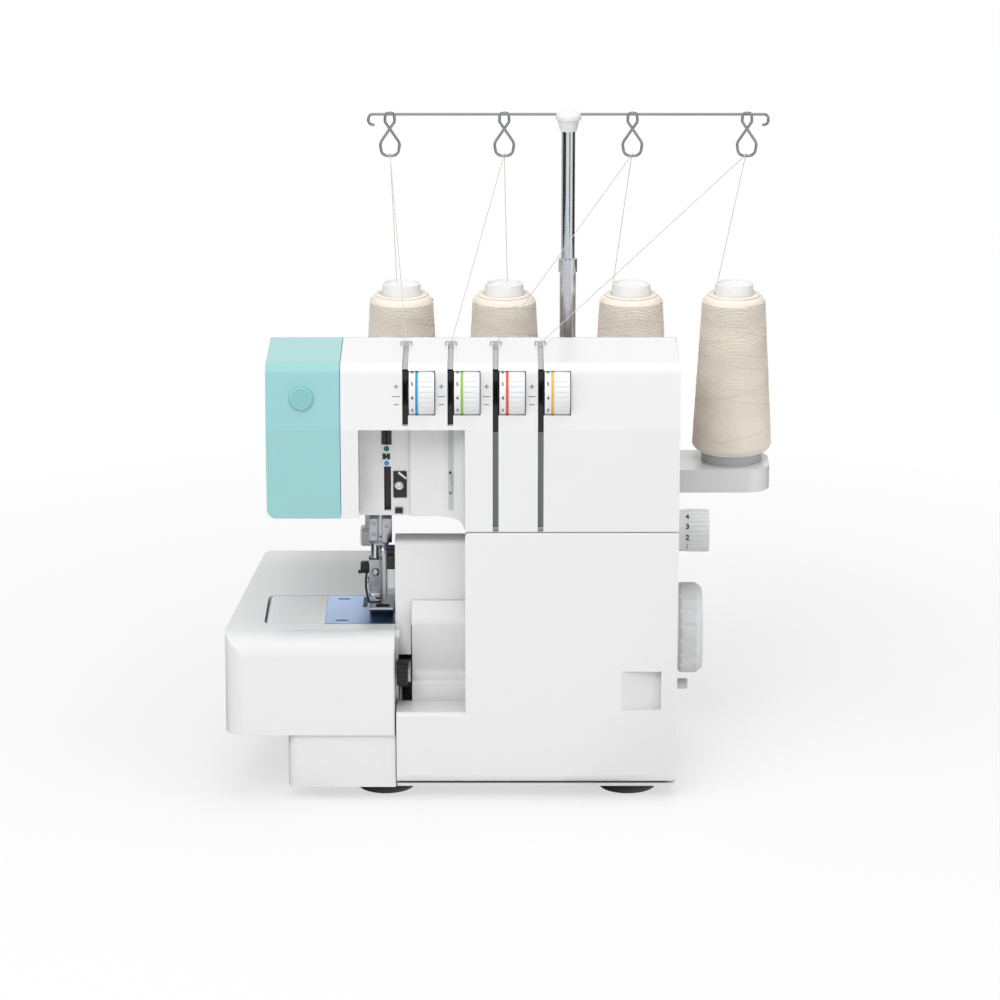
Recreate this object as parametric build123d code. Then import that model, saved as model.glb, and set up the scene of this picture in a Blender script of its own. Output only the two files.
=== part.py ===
from build123d import *
import math
import os

# Overlock machine. Millimetres, +X right, +Y back, +Z up. Sizes are taken from the column's left
# face (x), the front face (y) and the floor (z); the finished pieces are centred over the floor.

# Housing
wall = 2.6
seam = 0.4
column_width = 133.0
head_reach = 123.0
face_cover_width = 46.0
housing_depth = 168.0
foot_height = 9.0
deck_height = 44.0
cover_top = 178.0
head_bottom = 182.0
end_bottom = 187.0
panel_bottom = 244.0
panel_top = 284.0
panel_lean = 6.0
crest_depth = 66.0
crest_height = 286.5
rear_top = 258.0
base_reach = 112.0
base_front = 27.0
corner_round = 6.0
throat_round = 6.5

# Needle recess in the head
recess_reach = 66.0
recess_depth = 22.0
recess_round = 20.0
recess_step = 2.5
recess_split = -34.3
needle_slot_width = 4.4
needle_slot_x = -48.6

# Thread grooves and tension wheels
groove_first = -36.8
groove_pitch = 27.9
groove_width = 3.6
groove_depth = 4.0
groove_back = 54.0
liner_thickness = 1.0
wheel_radius = 16.0
wheel_width = 15.6
wheel_depth = 12.7
wheel_height = 265.2
window_margin = 0.6
guide_radius = 0.6
disc_radius = 10.0
post_radius = 2.0
rib_count = 30
rib_radius = 0.8

# Looper cover
cover_left = 43.6
cover_depth = 24.0
ledge_height = 59.2
ledge_depth = 24.8
riser_height = 71.6
scoop_nose = 23.4
scoop_bend = 112.0
scoop_top = 126.0
trough_depth = 8.0
trough_rise = 3.0
notch_width = 9.6
pull_width = 28.0
pull_height = 26.0
pull_left = 95.0
pull_bottom = 60.7
pull_depth = 6.0
hinge_depth = 7.0
hinge_height = 24.0
cover_low = 11.8
cover_heel = 4.0
cover_fall = 1.1
tongue_thickness = 2.0
rod_radius = 2.0
barrel_radius = 4.0

# Free arm, stitch plate and bed
bed_height = 110.0
arm_front = 25.5
arm_back = 83.7
arm_bottom = 54.0
arm_reach = 127.0
arm_end = 42.6
plate_left = 89.0
plate_right = 45.6
plate_thickness = 3.0
bed_front = 40.0
ridge_front = 100.0
ridge_back = 118.0
ridge_height = 137.8
guard_left = 44.5
guard_front = 30.4
guard_low = 88.0
guard_top = 163.0
guard_depth = 18.0

# Extension table
table_left = 152.7
table_left_back = 134.0
table_right = 44.5
table_depth = 187.0
table_front_round = 14.0
table_gap = 0.4
table_slot_depth = 44.0

# Needle, presser and knife
needle_x = -54.0
needle_y = 56.0
needle_bar_radius = 3.6
needle_bar_top = 274.0
clamp_bottom = 156.0
clamp_height = 16.6
clamp_width = 14.0
clamp_depth = 12.0
needle_tip = 117.0
needle_spread = 3.8
needle_stagger = 3.0
presser_x = -58.0
presser_y = 72.0
presser_bar_radius = 3.0
presser_bar_top = 262.0
foot_width = 15.0
foot_front = 28.0
foot_back = 80.0
foot_lift = 0.3
foot_sole = 2.2
foot_toe_rise = 8.0
bush_wall = 2.4
bush_length = 14.0
running = 0.05
knife_thickness = 1.2
knife_gap = 0.2
knife_front = 33.5
knife_back = 44.5
knife_clamp_low = 143.0
knife_clamp_height = 13.5
knife_clamp_width = 7.0
shank_left = -49.0
shank_low = 129.5
lifter_y = 118.0
lifter_z = 200.0
lifter_x = -64.0
lifter_length = 61.0

# Drive
shaft_y = 84.0
shaft_z = 88.5
shaft_radius = 5.0
shaft_left = -38.0
wheel_outer = 152.0
hand_wheel_radius = 29.2
pulley_x = 104.0
pulley_width = 10.0
pulley_radius = 22.0
motor_inset = 30.0
motor_z = 50.0
motor_radius = 24.0
motor_left = 24.0
motor_right = 100.0
motor_pulley_radius = 7.0
belt_thickness = 1.6
length_dial_z = 154.0
length_dial_radius = 13.7
length_dial_outer = 155.7
lever_z = 70.0
lever_length = 20.0
lever_outer = 143.4

# Frame casting
frame_front = 100.0
frame_thickness = 10.0
arm_low = 214.0
arm_high = 250.0
bed_arm_front = 58.0
bed_arm_back = 68.0
bed_arm_top = 70.0
looper_thickness = 3.0
upper_looper_x = -20.0
upper_looper_z = 85.0
upper_looper_y = 47.0
lower_looper_x = -95.0
lower_looper_z = 75.0
lower_looper_y = 40.0
looper_shaft_radius = 3.0
thumb_y = 16.5
thumb_z = 80.5
thumb_radius = 8.3
thumb_width = 6.7

# Thread stand
stand_gap = 9.0
stand_depth = 49.0
stand_half = 134.7
stand_top = 167.4
stand_bottom = 151.8
stand_round = 16.0
spool_set = 29.0
inner_spool = 42.0
outer_spool = 110.0
pin_radius = 2.5
pin_top = 262.0
holder_radius = 20.2
holder_height = 6.0
core_bottom_radius = 17.5
core_top_radius = 12.6
core_top = 287.8
core_wall = 1.2
cone_bottom = 173.6
cone_top = 280.5
cone_bottom_radius = 26.7
cone_top_radius = 20.7
lower_tube_radius = 5.3
lower_tube_top = 304.7
upper_tube_radius = 4.5
upper_tube_low = 236.0
bar_height = 400.0
cap_rise = 4.5
bar_overhang = 10.0
wire_radius = 0.9
eyelet_inner = 42.0
eyelet_outer = 117.0
eyelet_drop = 27.4
eyelet_width = 13.0
eyelet_ring = 5.8
thread_radius = 0.25
foot_pad_radius = 20.0
foot_pad_y = 30.0
inlet_inset = 40.0
inlet_width = 26.0
inlet_low = 60.0
inlet_high = 78.0
switch_margin = 3.0
switch_low = 92.0
switch_high = 106.0

# Places worked out from the sizes above
pole_x = column_width / 2
stand_front = housing_depth + stand_gap
stand_back = stand_front + stand_depth
spool_y = stand_front + spool_set
motor_y = housing_depth - motor_inset
bar_reach = eyelet_outer + bar_overhang
over_top = crest_height + 30


# Sketch and solid helpers

def inset(points, distance):
    area = sum(a[0] * b[1] - b[0] * a[1] for a, b in zip(points, points[1:] + points[:1]))
    side = 1 if area > 0 else -1
    count = len(points)
    lines = []
    for i in range(count):
        (ax, ay), (bx, by) = points[i], points[(i + 1) % count]
        length = math.hypot(bx - ax, by - ay)
        nx, ny = -side * (by - ay) / length, side * (bx - ax) / length
        lines.append((ax + nx * distance, ay + ny * distance, bx - ax, by - ay))
    result = []
    for i in range(count):
        px, py, ux, uy = lines[i - 1]
        qx, qy, vx, vy = lines[i]
        t = ((qx - px) * vy - (qy - py) * vx) / (ux * vy - uy * vx)
        result.append((px + ux * t, py + uy * t))
    return result


def outline(points, radii=0):
    if isinstance(radii, (int, float)):
        radii = [radii] * len(points)
    if max(radii) == 0:
        return make_face(Polyline(*points, close=True))
    return make_face(FilletPolyline(*points, radius=radii, close=True))


def prism_x(points, x0, x1, radii=0):
    plane = Plane(origin=(x0, 0, 0), x_dir=(0, 1, 0), z_dir=(1, 0, 0))
    return extrude(plane * outline(points, radii), amount=x1 - x0)


def prism_y(points, y0, y1, radii=0):
    plane = Plane(origin=(0, y1, 0), x_dir=(1, 0, 0), z_dir=(0, -1, 0))
    return extrude(plane * outline(points, radii), amount=y1 - y0)


def prism_z(points, z0, z1, radii=0):
    return extrude(Pos(0, 0, z0) * outline(points, radii), amount=z1 - z0)


def rectangle(a0, a1, b0, b1):
    return [(a0, b0), (a1, b0), (a1, b1), (a0, b1)]


def block(x0, x1, y0, y1, z0, z1):
    return Pos(x0, y0, z0) * Box(x1 - x0, y1 - y0, z1 - z0, align=(Align.MIN, Align.MIN, Align.MIN))


def rod_x(radius, x0, x1, y, z):
    base = Cylinder(radius, x1 - x0, align=(Align.CENTER, Align.CENTER, Align.MIN))
    return Pos(x0, y, z) * Rot(0, 90, 0) * base


def rod_y(radius, y0, y1, x, z):
    base = Cylinder(radius, y1 - y0, align=(Align.CENTER, Align.CENTER, Align.MIN))
    return Pos(x, y0, z) * Rot(-90, 0, 0) * base


def rod_z(radius, z0, z1, x, y):
    return Pos(x, y, z0) * Cylinder(radius, z1 - z0, align=(Align.CENTER, Align.CENTER, Align.MIN))


def turned(points, radii=0):
    return revolve(Plane.XZ * outline(points, radii), Axis.Z)


def turned_x(points, x, y, z, radii=0):
    return Pos(x, y, z) * Rot(0, 90, 0) * turned(points, radii)


def tube(path, radius):
    section = Plane(origin=path @ 0, z_dir=path % 0) * Circle(radius)
    return sweep(section, path=path)


# Housing: one hollow form, cut into its mouldings

section_points = [(base_front, deck_height), (base_front, cover_top), (0, cover_top), (0, panel_bottom),
                  (panel_lean, panel_top), (crest_depth, crest_height), (housing_depth, rear_top),
                  (housing_depth, deck_height)]
section_rounds = [0, 0, 1, 1.5, 7, 24, 14, 0]
front_points = [(-head_reach, end_bottom), (-recess_reach, end_bottom), (-recess_reach, head_bottom),
                (0, head_bottom), (0, deck_height), (column_width, deck_height),
                (column_width, crest_height + wall), (-head_reach, crest_height + wall)]
front_rounds = [corner_round, 1, 1, throat_round, 0, 0, corner_round, corner_round]
grooves = [groove_first + groove_pitch * i for i in range(4)]


def form(inward):
    points = inset(section_points, inward)
    floor = deck_height - inward
    points[0], points[-1] = (points[0][0], floor), (points[-1][0], floor)
    rounds = [max(r - inward, 0.4) if r else 0 for r in section_rounds]
    across = prism_x(points, -head_reach - 1, column_width + 1, rounds)
    face = inset(front_points, inward)
    face[4], face[5] = (face[4][0], floor), (face[5][0], floor)
    face_rounds = [max(r - inward, 0.4) if r else 0 for r in front_rounds]
    face_rounds[3] = throat_round + inward
    return across & prism_y(face, -1, housing_depth + 1, face_rounds)


def recess(outward):
    left = -recess_reach - outward
    back = recess_depth + outward
    points = [(left, -wall), (left, back), (outward, back), (outward, -wall)]
    rounds = [0, 1.5, recess_round + outward, 0]
    deep = rectangle(left, recess_split + outward, -wall, back + recess_step)
    low, high = head_bottom - 2 * wall, panel_bottom + outward
    return prism_z(points, low, high, rounds) + prism_z(deep, low, high, [0, 0, 1, 1.5])


def groove_skin(depth, sideways):
    under = prism_x(inset(section_points, depth), -head_reach - 1, column_width + 1)
    cut = None
    for i, x in enumerate(grooves):
        low = panel_bottom + wall - sideways if i < 2 else cover_top + wall
        left = x - groove_width / 2 - sideways
        strip = block(left, left + groove_width + 2 * sideways, -5, groove_back + sideways, low, over_top)
        cut = strip if cut is None else cut + strip
    return cut - under


def housing_shell():
    outer = form(0) - recess(0) - groove_skin(groove_depth, 0)
    inner = form(wall) - recess(wall) - groove_skin(groove_depth + wall, wall)
    return outer - inner


def wheel_left(i):
    return grooves[i] + groove_width / 2 + window_margin


def face_cover(shell):
    right = face_cover_width - head_reach - seam / 2
    return shell & block(-head_reach - 1, right, -1, housing_depth + 1, deck_height - 1, over_top)


def face_cap():
    x = -head_reach + 22
    z = 263.5
    lean = math.degrees(math.atan2(panel_lean, panel_top - panel_bottom))
    y = panel_lean * (z - panel_bottom) / (panel_top - panel_bottom)
    disc = turned([(0, 0), (7.6, 0), (7.6, 0.8), (6.6, 1.4), (0, 1.8)])
    return Pos(x, y, z) * Rot(90 - lean, 0, 0) * disc


def front_housing(shell):
    left = face_cover_width - head_reach + seam / 2
    part = shell & block(left, column_width + 1, -1, crest_depth - seam / 2, cover_top, over_top)
    slot = needle_slot_width / 2
    slot_back = recess_depth + recess_step + wall + 1
    part -= block(needle_slot_x - slot, needle_slot_x + slot, recess_depth, slot_back,
                  head_bottom + 3, panel_bottom - 7)
    part -= bar_opening()
    part -= block(base_front, base_front + 80, base_front + wall, crest_depth + 5, 100, 181)
    for i in range(4):
        left, right = grooves[i] - groove_width / 2, wheel_left(i) + wheel_width + window_margin
        part -= rod_x(wheel_radius + window_margin, left, right, wheel_depth, wheel_height)
    for x in grooves:
        for side in (-1, 1):
            part -= rod_z(guide_radius + 0.02, guide_height() - 2, guide_height() + 3,
                          x + side * guide_reach(), guide_y())
    return part


def guide_y():
    return groove_back - 6


def guide_reach():
    return groove_width / 2 + 1.6


def guide_height():
    return panel_top + (crest_height - panel_top) * (guide_y() - panel_lean) / (crest_depth - panel_lean)


def bar_opening():
    points = rectangle(presser_x - 10, needle_x + 12, needle_y - 12, presser_y + 12)
    return prism_z(points, head_bottom - 1, head_bottom + wall + 1, 5)


def rear_housing(shell):
    left = face_cover_width - head_reach + seam / 2
    upper = block(left, column_width + 1, crest_depth + seam / 2, housing_depth + 1, head_bottom - 1,
                  over_top)
    lower = block(-1, column_width + 1, base_front - 1, housing_depth + 1, deck_height, cover_top - seam)
    joint = block(-1, column_width + 1, crest_depth + seam / 2, housing_depth + 1, cover_top - seam - 1,
                  head_bottom)
    part = shell & (upper + lower + joint)
    part -= bar_opening()
    part -= block(lifter_x - 5, lifter_x + 5, lifter_y - 10, lifter_y + 42, head_bottom - 1,
                  end_bottom + wall)
    part -= prism_x(rectangle(base_front - 5, ridge_front - 4, deck_height + 2, bed_height + 2),
                    -1, wall + 1, [0, 6, 6, 0])
    part -= prism_y(rectangle(-5, 54, deck_height + 2, bed_height + 2), base_front - 1,
                    base_front + wall + 1, [0, 6, 6, 0])
    part -= block(-1, 12, base_front - 1, bed_front, bed_height - 4, scoop_top + 5)
    part -= rod_x(shaft_radius + 5, column_width - wall - 1, column_width + 1, shaft_y, shaft_z)
    part -= rod_x(5 + 0.1, column_width - wall - 1, column_width + 1, shaft_y, length_dial_z)
    peg_z = lever_z - lever_length
    part -= prism_x(rectangle(shaft_y - 11.5, shaft_y + 11.5, peg_z - 4.2, peg_z + 5.6),
                    column_width - wall - 1, column_width + 1, 4)
    part -= prism_x(rectangle(*inlet_box()), column_width - wall - 1, column_width + 1, 2)
    part -= prism_x(rectangle(*switch_box()), column_width - wall - 1, column_width + 1)
    part += rod_x(2, column_width - wall - 6.4, column_width - wall + 1, shaft_y, lever_z)
    for x in (20, 34, 48, 62):
        part -= prism_y(rectangle(x, x + 6, 62, 92), housing_depth - wall - 1, housing_depth + 1, 2.9)
    grip = prism_y(rectangle(pole_x - 45, pole_x + 45, 212, 240), housing_depth - 12, housing_depth + 1, 8)
    tray = prism_y(rectangle(pole_x - 45 - wall, pole_x + 45 + wall, 212 - wall, 240 + wall),
                   housing_depth - 12 - wall, housing_depth - 0.5, 8 + wall)
    return part + tray - grip


def inlet_box():
    y = housing_depth - inlet_inset
    return (y, y + inlet_width, inlet_low, inlet_high)


def switch_box():
    y = housing_depth - inlet_inset
    return (y + switch_margin, y + inlet_width - switch_margin, switch_low, switch_high)


def base_plan(inward):
    points = [(-base_reach, 2), (-cover_left - seam, 2), (-cover_left - seam, base_front),
              (column_width, base_front), (column_width, housing_depth), (-base_reach, housing_depth)]
    return inset(points, inward)


def base_tray():
    rounds = [6, 1, 1, 1, corner_round, 10]
    part = prism_z(base_plan(0), foot_height, deck_height, rounds)
    part -= prism_z(base_plan(wall), foot_height + 3, deck_height - wall, [3.4, 0.5, 3.6, 0.5, 3.4, 7.4])
    part -= prism_z(rectangle(wall, column_width - wall, base_front + wall, housing_depth - wall),
                    deck_height - wall - 1, deck_height + 1, 3)
    tongue = prism_z(rectangle(-cover_left, column_width, 4, base_front + 1), foot_height,
                     foot_height + tongue_thickness, [1, 5, 0, 0])
    part += tongue
    for x in hinge_ears():
        ear = prism_x([(hinge_depth - 3.8, hinge_height - 3.8), (base_front + 1, hinge_height - 6),
                       (base_front + 1, hinge_height + 6), (hinge_depth - 3.8, hinge_height + 3.8)],
                      x, x + 6, [3, 0, 0, 3])
        part += ear - rod_x(rod_radius + running, x - 1, x + 7, hinge_depth, hinge_height)
    return part


def hinge_ears():
    return (-20, 50, 108)


def rubber_feet():
    profile = [(0, 0), (foot_pad_radius - 2, 0), (foot_pad_radius, 3), (foot_pad_radius - 1, foot_height),
               (0, foot_height)]
    pad = turned(profile, [0, 1, 1, 0, 0])
    places = [(-51, foot_pad_y + 2), (103, foot_pad_y + 2), (-51, housing_depth - 30),
              (103, housing_depth - 30)]
    return Compound(children=[Pos(x, y, 0) * pad for x, y in places])


# Frame casting and drive

def main_frame():
    slab = prism_z(rectangle(8, column_width - 7, base_front + 7, housing_depth - 8), foot_height + 3,
                   foot_height + 9, 8)
    for x in (30, 66, 102):
        slab -= rod_z(10, foot_height, foot_height + 12, x, 64)
    back = frame_front + frame_thickness
    profile = [(8, foot_height + 9), (98, foot_height + 9), (98, arm_high), (-110, arm_high),
               (-110, arm_low), (40, arm_low), (40, 120), (8, 120)]
    part = slab + prism_y(profile, frame_front, back, [0, 0, 16, 6, 6, 14, 6, 6])
    for x in (-90, -20, 10):
        part -= rod_y(11, frame_front - 1, back + 1, x, (arm_low + arm_high) / 2)
    part -= prism_y(rectangle(52, 86, 128, 200), frame_front - 1, back + 1, 10)
    part += prism_z(rectangle(needle_x - 20, needle_x + 14, needle_y - 12, frame_front), arm_low - 14,
                    arm_high, [8, 8, 0, 0])
    bed = [(-arm_reach + 11, arm_bottom + wall), (60, arm_bottom + wall), (60, 84), (8, 84),
           (-30, bed_arm_top), (-arm_reach + 11, bed_arm_top)]
    part += prism_y(bed, bed_arm_front, bed_arm_back, [3, 0, 3, 8, 8, 3])
    part += block(44, 60, bed_arm_back, frame_front, arm_bottom + wall, shaft_z - shaft_radius - 3.5)
    part += rod_y(8, bed_arm_front, bed_arm_back, upper_looper_x, upper_looper_z)
    part += rod_y(8, bed_arm_front, bed_arm_back, lower_looper_x, lower_looper_z)
    part += block(-30, -18, bed_arm_back, shaft_y, arm_bottom + wall, shaft_z)
    part += rod_x(shaft_radius + bush_wall + 3, -30, -18, shaft_y, shaft_z)
    part += block(70, 82, shaft_y, frame_front, shaft_z - 10, shaft_z + 10)
    part += rod_x(shaft_radius + bush_wall + 3, 70, 82, shaft_y, shaft_z)
    part += block(40, 80, back, motor_y - 10, motor_z - 20, motor_z + 20)
    part -= rod_x(motor_radius, motor_left - 1, motor_right + 1, motor_y, motor_z)
    part += block(lifter_x - 8, lifter_x - 4, back, lifter_y + 6, lifter_z - 6, arm_high)
    part += rod_x(2.5, lifter_x - 5, lifter_x + 3, lifter_y, lifter_z)
    part += thumb_bracket()
    bore = bush_wall + needle_bar_radius
    part -= rod_z(bore, arm_low - 20, arm_high + 1, needle_x, needle_y)
    part -= rod_z(bush_wall + presser_bar_radius, arm_low - 20, arm_high + 1, presser_x, presser_y)
    part -= rod_x(shaft_radius + bush_wall, -31, -17, shaft_y, shaft_z)
    part -= rod_x(shaft_radius + bush_wall, 69, 83, shaft_y, shaft_z)
    hole = looper_shaft_radius + running
    part -= rod_y(hole, bed_arm_front - 1, bed_arm_back + 1, upper_looper_x, upper_looper_z)
    part -= rod_y(hole, bed_arm_front - 1, bed_arm_back + 1, lower_looper_x, lower_looper_z)
    part -= rod_x(2 + running, -60, 0, thumb_y, thumb_z)
    return part


def thumb_bracket():
    left = -cover_left + 0.2 + thumb_width + 0.3
    points = [(thumb_y - 5, thumb_z - 5), (thumb_y + 8, thumb_z - 8), (bed_arm_front, arm_bottom + 6),
              (bed_arm_front, thumb_z + 4), (thumb_y - 5, thumb_z + 4)]
    return prism_x(points, left, left + 1.6, [3, 6, 0, 0, 3])


def sleeve_z(inner, outer, z0, z1, x, y):
    return rod_z(outer, z0, z1, x, y) - rod_z(inner, z0 - 1, z1 + 1, x, y)


def bar_bushes():
    pieces = []
    bars = ((needle_x, needle_y, needle_bar_radius), (presser_x, presser_y, presser_bar_radius))
    for x, y, radius in bars:
        for z in (arm_low - 14, arm_high - bush_length):
            pieces.append(sleeve_z(radius + running, radius + bush_wall, z, z + bush_length, x, y))
    return Compound(children=pieces)


def shaft_bushes():
    pieces = []
    for x in (-30, 70):
        outer = rod_x(shaft_radius + bush_wall, x, x + 12, shaft_y, shaft_z)
        pieces.append(outer - rod_x(shaft_radius + running, x - 1, x + 13, shaft_y, shaft_z))
    return Compound(children=pieces)


def main_shaft():
    shaft = rod_x(shaft_radius, shaft_left, wheel_outer - 6, shaft_y, shaft_z)
    crank = rod_x(shaft_radius + 5, -17.4, -11, shaft_y, shaft_z)
    return shaft + crank


def drive_pulley():
    end = pulley_width
    rim = pulley_radius
    profile = [(shaft_radius, 0), (rim + 2, 0), (rim + 2, 0.8), (rim, 1), (rim, end - 1),
               (rim + 2, end - 0.8), (rim + 2, end), (shaft_radius, end)]
    part = turned_x(profile, pulley_x, shaft_y, shaft_z)
    for i in range(5):
        turn = math.radians(72 * i)
        y, z = shaft_y + 13.5 * math.cos(turn), shaft_z + 13.5 * math.sin(turn)
        part -= rod_x(4.5, pulley_x - 1, pulley_x + end + 1, y, z)
    return part


def hand_wheel():
    start = column_width + 1.4
    width = wheel_outer - start
    r = hand_wheel_radius
    profile = [(shaft_radius, -9), (shaft_radius + 4, -9), (shaft_radius + 4, 0), (r - 3, 0), (r, 4),
               (r, width - 4), (r - 3.5, width), (r - 9, width - 1.2), (12, width - 3), (0, width - 3),
               (0, width - 6), (shaft_radius, width - 6)]
    part = turned_x(profile, start, shaft_y, shaft_z, [0, 0, 0, 1.5, 2, 3, 1.5, 2, 2, 0, 0, 0])
    for i in range(18):
        turn = math.radians(20 * i)
        y, z = shaft_y + (r + 2.2) * math.cos(turn), shaft_z + (r + 2.2) * math.sin(turn)
        part -= rod_x(3.0, start - 1, wheel_outer - 4.5, y, z)
    return part


def motor():
    body = rod_x(motor_radius, motor_left, motor_right, motor_y, motor_z)
    part = body + rod_x(9, motor_right, motor_right + 2, motor_y, motor_z)
    for i in range(8):
        turn = math.radians(45 * i)
        y, z = motor_y + 16 * math.cos(turn), motor_z + 16 * math.sin(turn)
        part -= rod_x(2.5, motor_left - 1, motor_left + 6, y, z)
    return part - rod_x(3 + running, 80, motor_right + 3, motor_y, motor_z)


def motor_pulley():
    r = motor_pulley_radius
    profile = [(0, 0), (r + 2, 0), (r + 2, 0.8), (r, 1), (r, pulley_width - 1), (r + 2, pulley_width - 0.8),
               (r + 2, pulley_width), (0, pulley_width)]
    return turned_x(profile, pulley_x, motor_y, motor_z) + rod_x(3, 82, pulley_x + 1, motor_y, motor_z)


def belt_loop(outward):
    big = Pos(shaft_y, shaft_z) * Circle(pulley_radius + outward)
    small = Pos(motor_y, motor_z) * Circle(motor_pulley_radius + outward)
    return make_hull(big.edges() + small.edges())


def drive_belt():
    plane = Plane(origin=(pulley_x + 1.3, 0, 0), x_dir=(0, 1, 0), z_dir=(1, 0, 0))
    ring = belt_loop(0.1 + belt_thickness) - belt_loop(0.1)
    return extrude(plane * ring, amount=pulley_width - 2.6)


# Bed, arm and table

def free_arm():
    points = rectangle(arm_front, arm_back, arm_bottom, bed_height)
    part = prism_x(points, -arm_reach, -arm_end, [9, 9, 1.2, 1.2])
    part -= prism_x(inset(points, wall), -arm_reach + wall, -arm_end + 1, [6, 6, 0, 0])
    part -= block(-plate_left, -arm_end + 1, arm_front + 0.2, arm_back - 0.2,
                  bed_height - plate_thickness, bed_height + 1)
    edge = part.edges().filter_by(Axis.Z).group_by(Axis.X)[0]
    part = fillet(edge, 4) if edge else part
    part -= block(-plate_left + 4, -arm_end + 1, arm_front + 5, arm_back - 5, bed_height - 10,
                  bed_height + 1)
    return part


def stitch_plate():
    points = [(-plate_left + 0.15, arm_front + 0.35), (-plate_right, arm_front + 0.35),
              (-plate_right, arm_back - 0.35), (-plate_left + 0.15, arm_back - 0.35)]
    part = prism_z(points, bed_height - plate_thickness, bed_height, [1, 0.5, 0.5, 1])
    low, high = bed_height - plate_thickness - 1, bed_height + 1
    part -= prism_z(rectangle(needle_x - 3.5, needle_x + 5.5, needle_y - 5.5, needle_y + 2.4), low, high,
                    1.2)
    for x in feed_rows():
        part -= prism_z(rectangle(x - 1.3, x + 1.3, needle_y + 3.5, needle_y + 24), low, high, 1.2)
    for y in (32.5, 76.5):
        part -= prism_z(rectangle(-82.5, -74.5, y - 1.1, y + 1.1), bed_height - 1, high, 1.05)
    return part


def feed_rows():
    return (-64.5, -60.0, -55.5, -51.0)


def feed_dogs():
    low = bed_arm_top + 0.3
    part = prism_z(rectangle(-67, -49, needle_y + 6, needle_y + 20.5), low + 22, bed_height - 6, 1.5)
    part += prism_z(rectangle(-62, -54, needle_y + 7, needle_y + 12), low, low + 23, 1.5)
    for x in feed_rows():
        teeth = [(needle_y + 6.5, bed_height - 7), (needle_y + 20.5, bed_height - 7)]
        for i in range(6):
            y = needle_y + 20.5 - 2.3 * i
            teeth += [(y, bed_height + 0.25), (y - 2.0, bed_height - 0.6)]
        part += prism_x(teeth, x - 0.9, x + 0.9)
    return part


def bed_cover():
    left, right = -arm_end, -0.3
    outer = [(bed_front, bed_height - wall), (bed_front, bed_height), (ridge_front, bed_height),
             (ridge_front, ridge_height), (ridge_back, ridge_height), (ridge_back, deck_height),
             (ridge_front - wall, deck_height), (ridge_front - wall, bed_height - wall)]
    part = prism_x(outer, left, right, [0.8, 1.2, 4, 6, 6, 0, 0, 0])
    part -= prism_x(rectangle(ridge_front, ridge_back - wall, deck_height - 1, ridge_height - wall),
                    left + wall, right + 1, [0, 0, 3.4, 3.4])
    part -= block(left - 1, -36, bed_front - 1, 47, bed_height - 5, bed_height + 1)
    return part + knife_guard(right)


def knife_guard(right):
    inner, roof = guard_front + wall, guard_top - wall
    hood = [(guard_front, guard_low), (guard_front, guard_top), (guard_front + guard_depth, guard_top),
            (guard_front + guard_depth, roof), (inner, roof), (inner, guard_low)]
    part = prism_x(hood, -guard_left, right, [0, 4, 1, 1, 1.5, 0])
    scoop_end = notch_width - cover_left - 0.6
    part -= block(scoop_end, right + 1, guard_front - 1, inner + 1, guard_low - 1, bed_height - wall)
    return part + block(scoop_end, right, guard_front + 1, bed_front + 1, bed_height - wall, bed_height)


def lower_knife():
    right = -plate_right + 0.05 + knife_thickness
    face = rectangle(knife_front, knife_back, bed_height - 22, bed_height)
    return prism_x(face, -plate_right + 0.05, right, [1, 1, 0, 0])


def knife_left():
    return -plate_right + 0.05 + knife_thickness + knife_gap


def upper_knife():
    left = knife_left()
    low, high = bed_height + 0.8, knife_clamp_low
    blade = prism_x([(knife_front, high), (knife_front, low + 2.2), (knife_back, low), (knife_back, high)],
                    left, left + knife_thickness)
    return blade + block(shank_left, left + 0.5, knife_front + 4.5, knife_back - 2.5, shank_low, high)


def knife_holder():
    left = knife_left() + knife_thickness
    high = knife_clamp_low + knife_clamp_height
    arm = prism_y(rectangle(left, left + 6, 76, high), 36, 46, [1, 1, 2, 0])
    clamp = prism_x(rectangle(knife_front, knife_back + 1.5, knife_clamp_low, high),
                    left - knife_clamp_width, left + 1, 2)
    screw = rod_y(2, knife_front - 2.5, knife_front + 1, shank_left + 1.8, high - 5)
    return arm + clamp + screw


def thumb_wheel():
    left = -cover_left + 0.2
    rim = Circle(thumb_radius) - PolarLocations(thumb_radius, 20) * Circle(0.7)
    plane = Plane(origin=(left, thumb_y, thumb_z), x_dir=(0, 1, 0), z_dir=(1, 0, 0))
    part = extrude(plane * rim, amount=thumb_width)
    return part + rod_x(2, left + 1, left + thumb_width + 2.2, thumb_y, thumb_z)


def table_plan(inward):
    points = [(-table_left, 0), (-table_right, 0), (-table_right, table_depth),
              (-table_left_back, table_depth)]
    return inset(points, inward)


def extension_table():
    low = deck_height + 0.3
    points = [(0, low), (table_depth, low), (table_depth, bed_height), (0, bed_height)]
    outer = prism_x(points, -table_left - 20, 0, [0, 0, 6, table_front_round])
    outer &= prism_z(table_plan(0), low, bed_height + 1, [12, 1.5, 1.5, 14])
    hollow = [(wall, low - 5), (table_depth - wall, low - 5), (table_depth - wall, bed_height - wall),
              (wall, bed_height - wall)]
    inner = prism_x(hollow, -table_left - 20, 0, [0, 0, 3.4, table_front_round - wall])
    inner &= prism_z(table_plan(wall), low - 5, bed_height + 1, [9.4, 0.5, 0.5, 11.4])
    slot_left = -arm_reach - table_gap
    slot = rectangle(slot_left, 0, arm_front - table_gap, arm_back + table_gap)
    around = rectangle(slot_left - wall, 1, arm_front - table_gap - wall, arm_back + table_gap + wall)
    inner -= prism_z(around, bed_height - table_slot_depth, bed_height + 1, [5 + wall, 0, 0, 5 + wall])
    return outer - inner - prism_z(slot, low - 1, bed_height + 1, [5, 0, 0, 5])


# Looper cover on its rod

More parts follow.
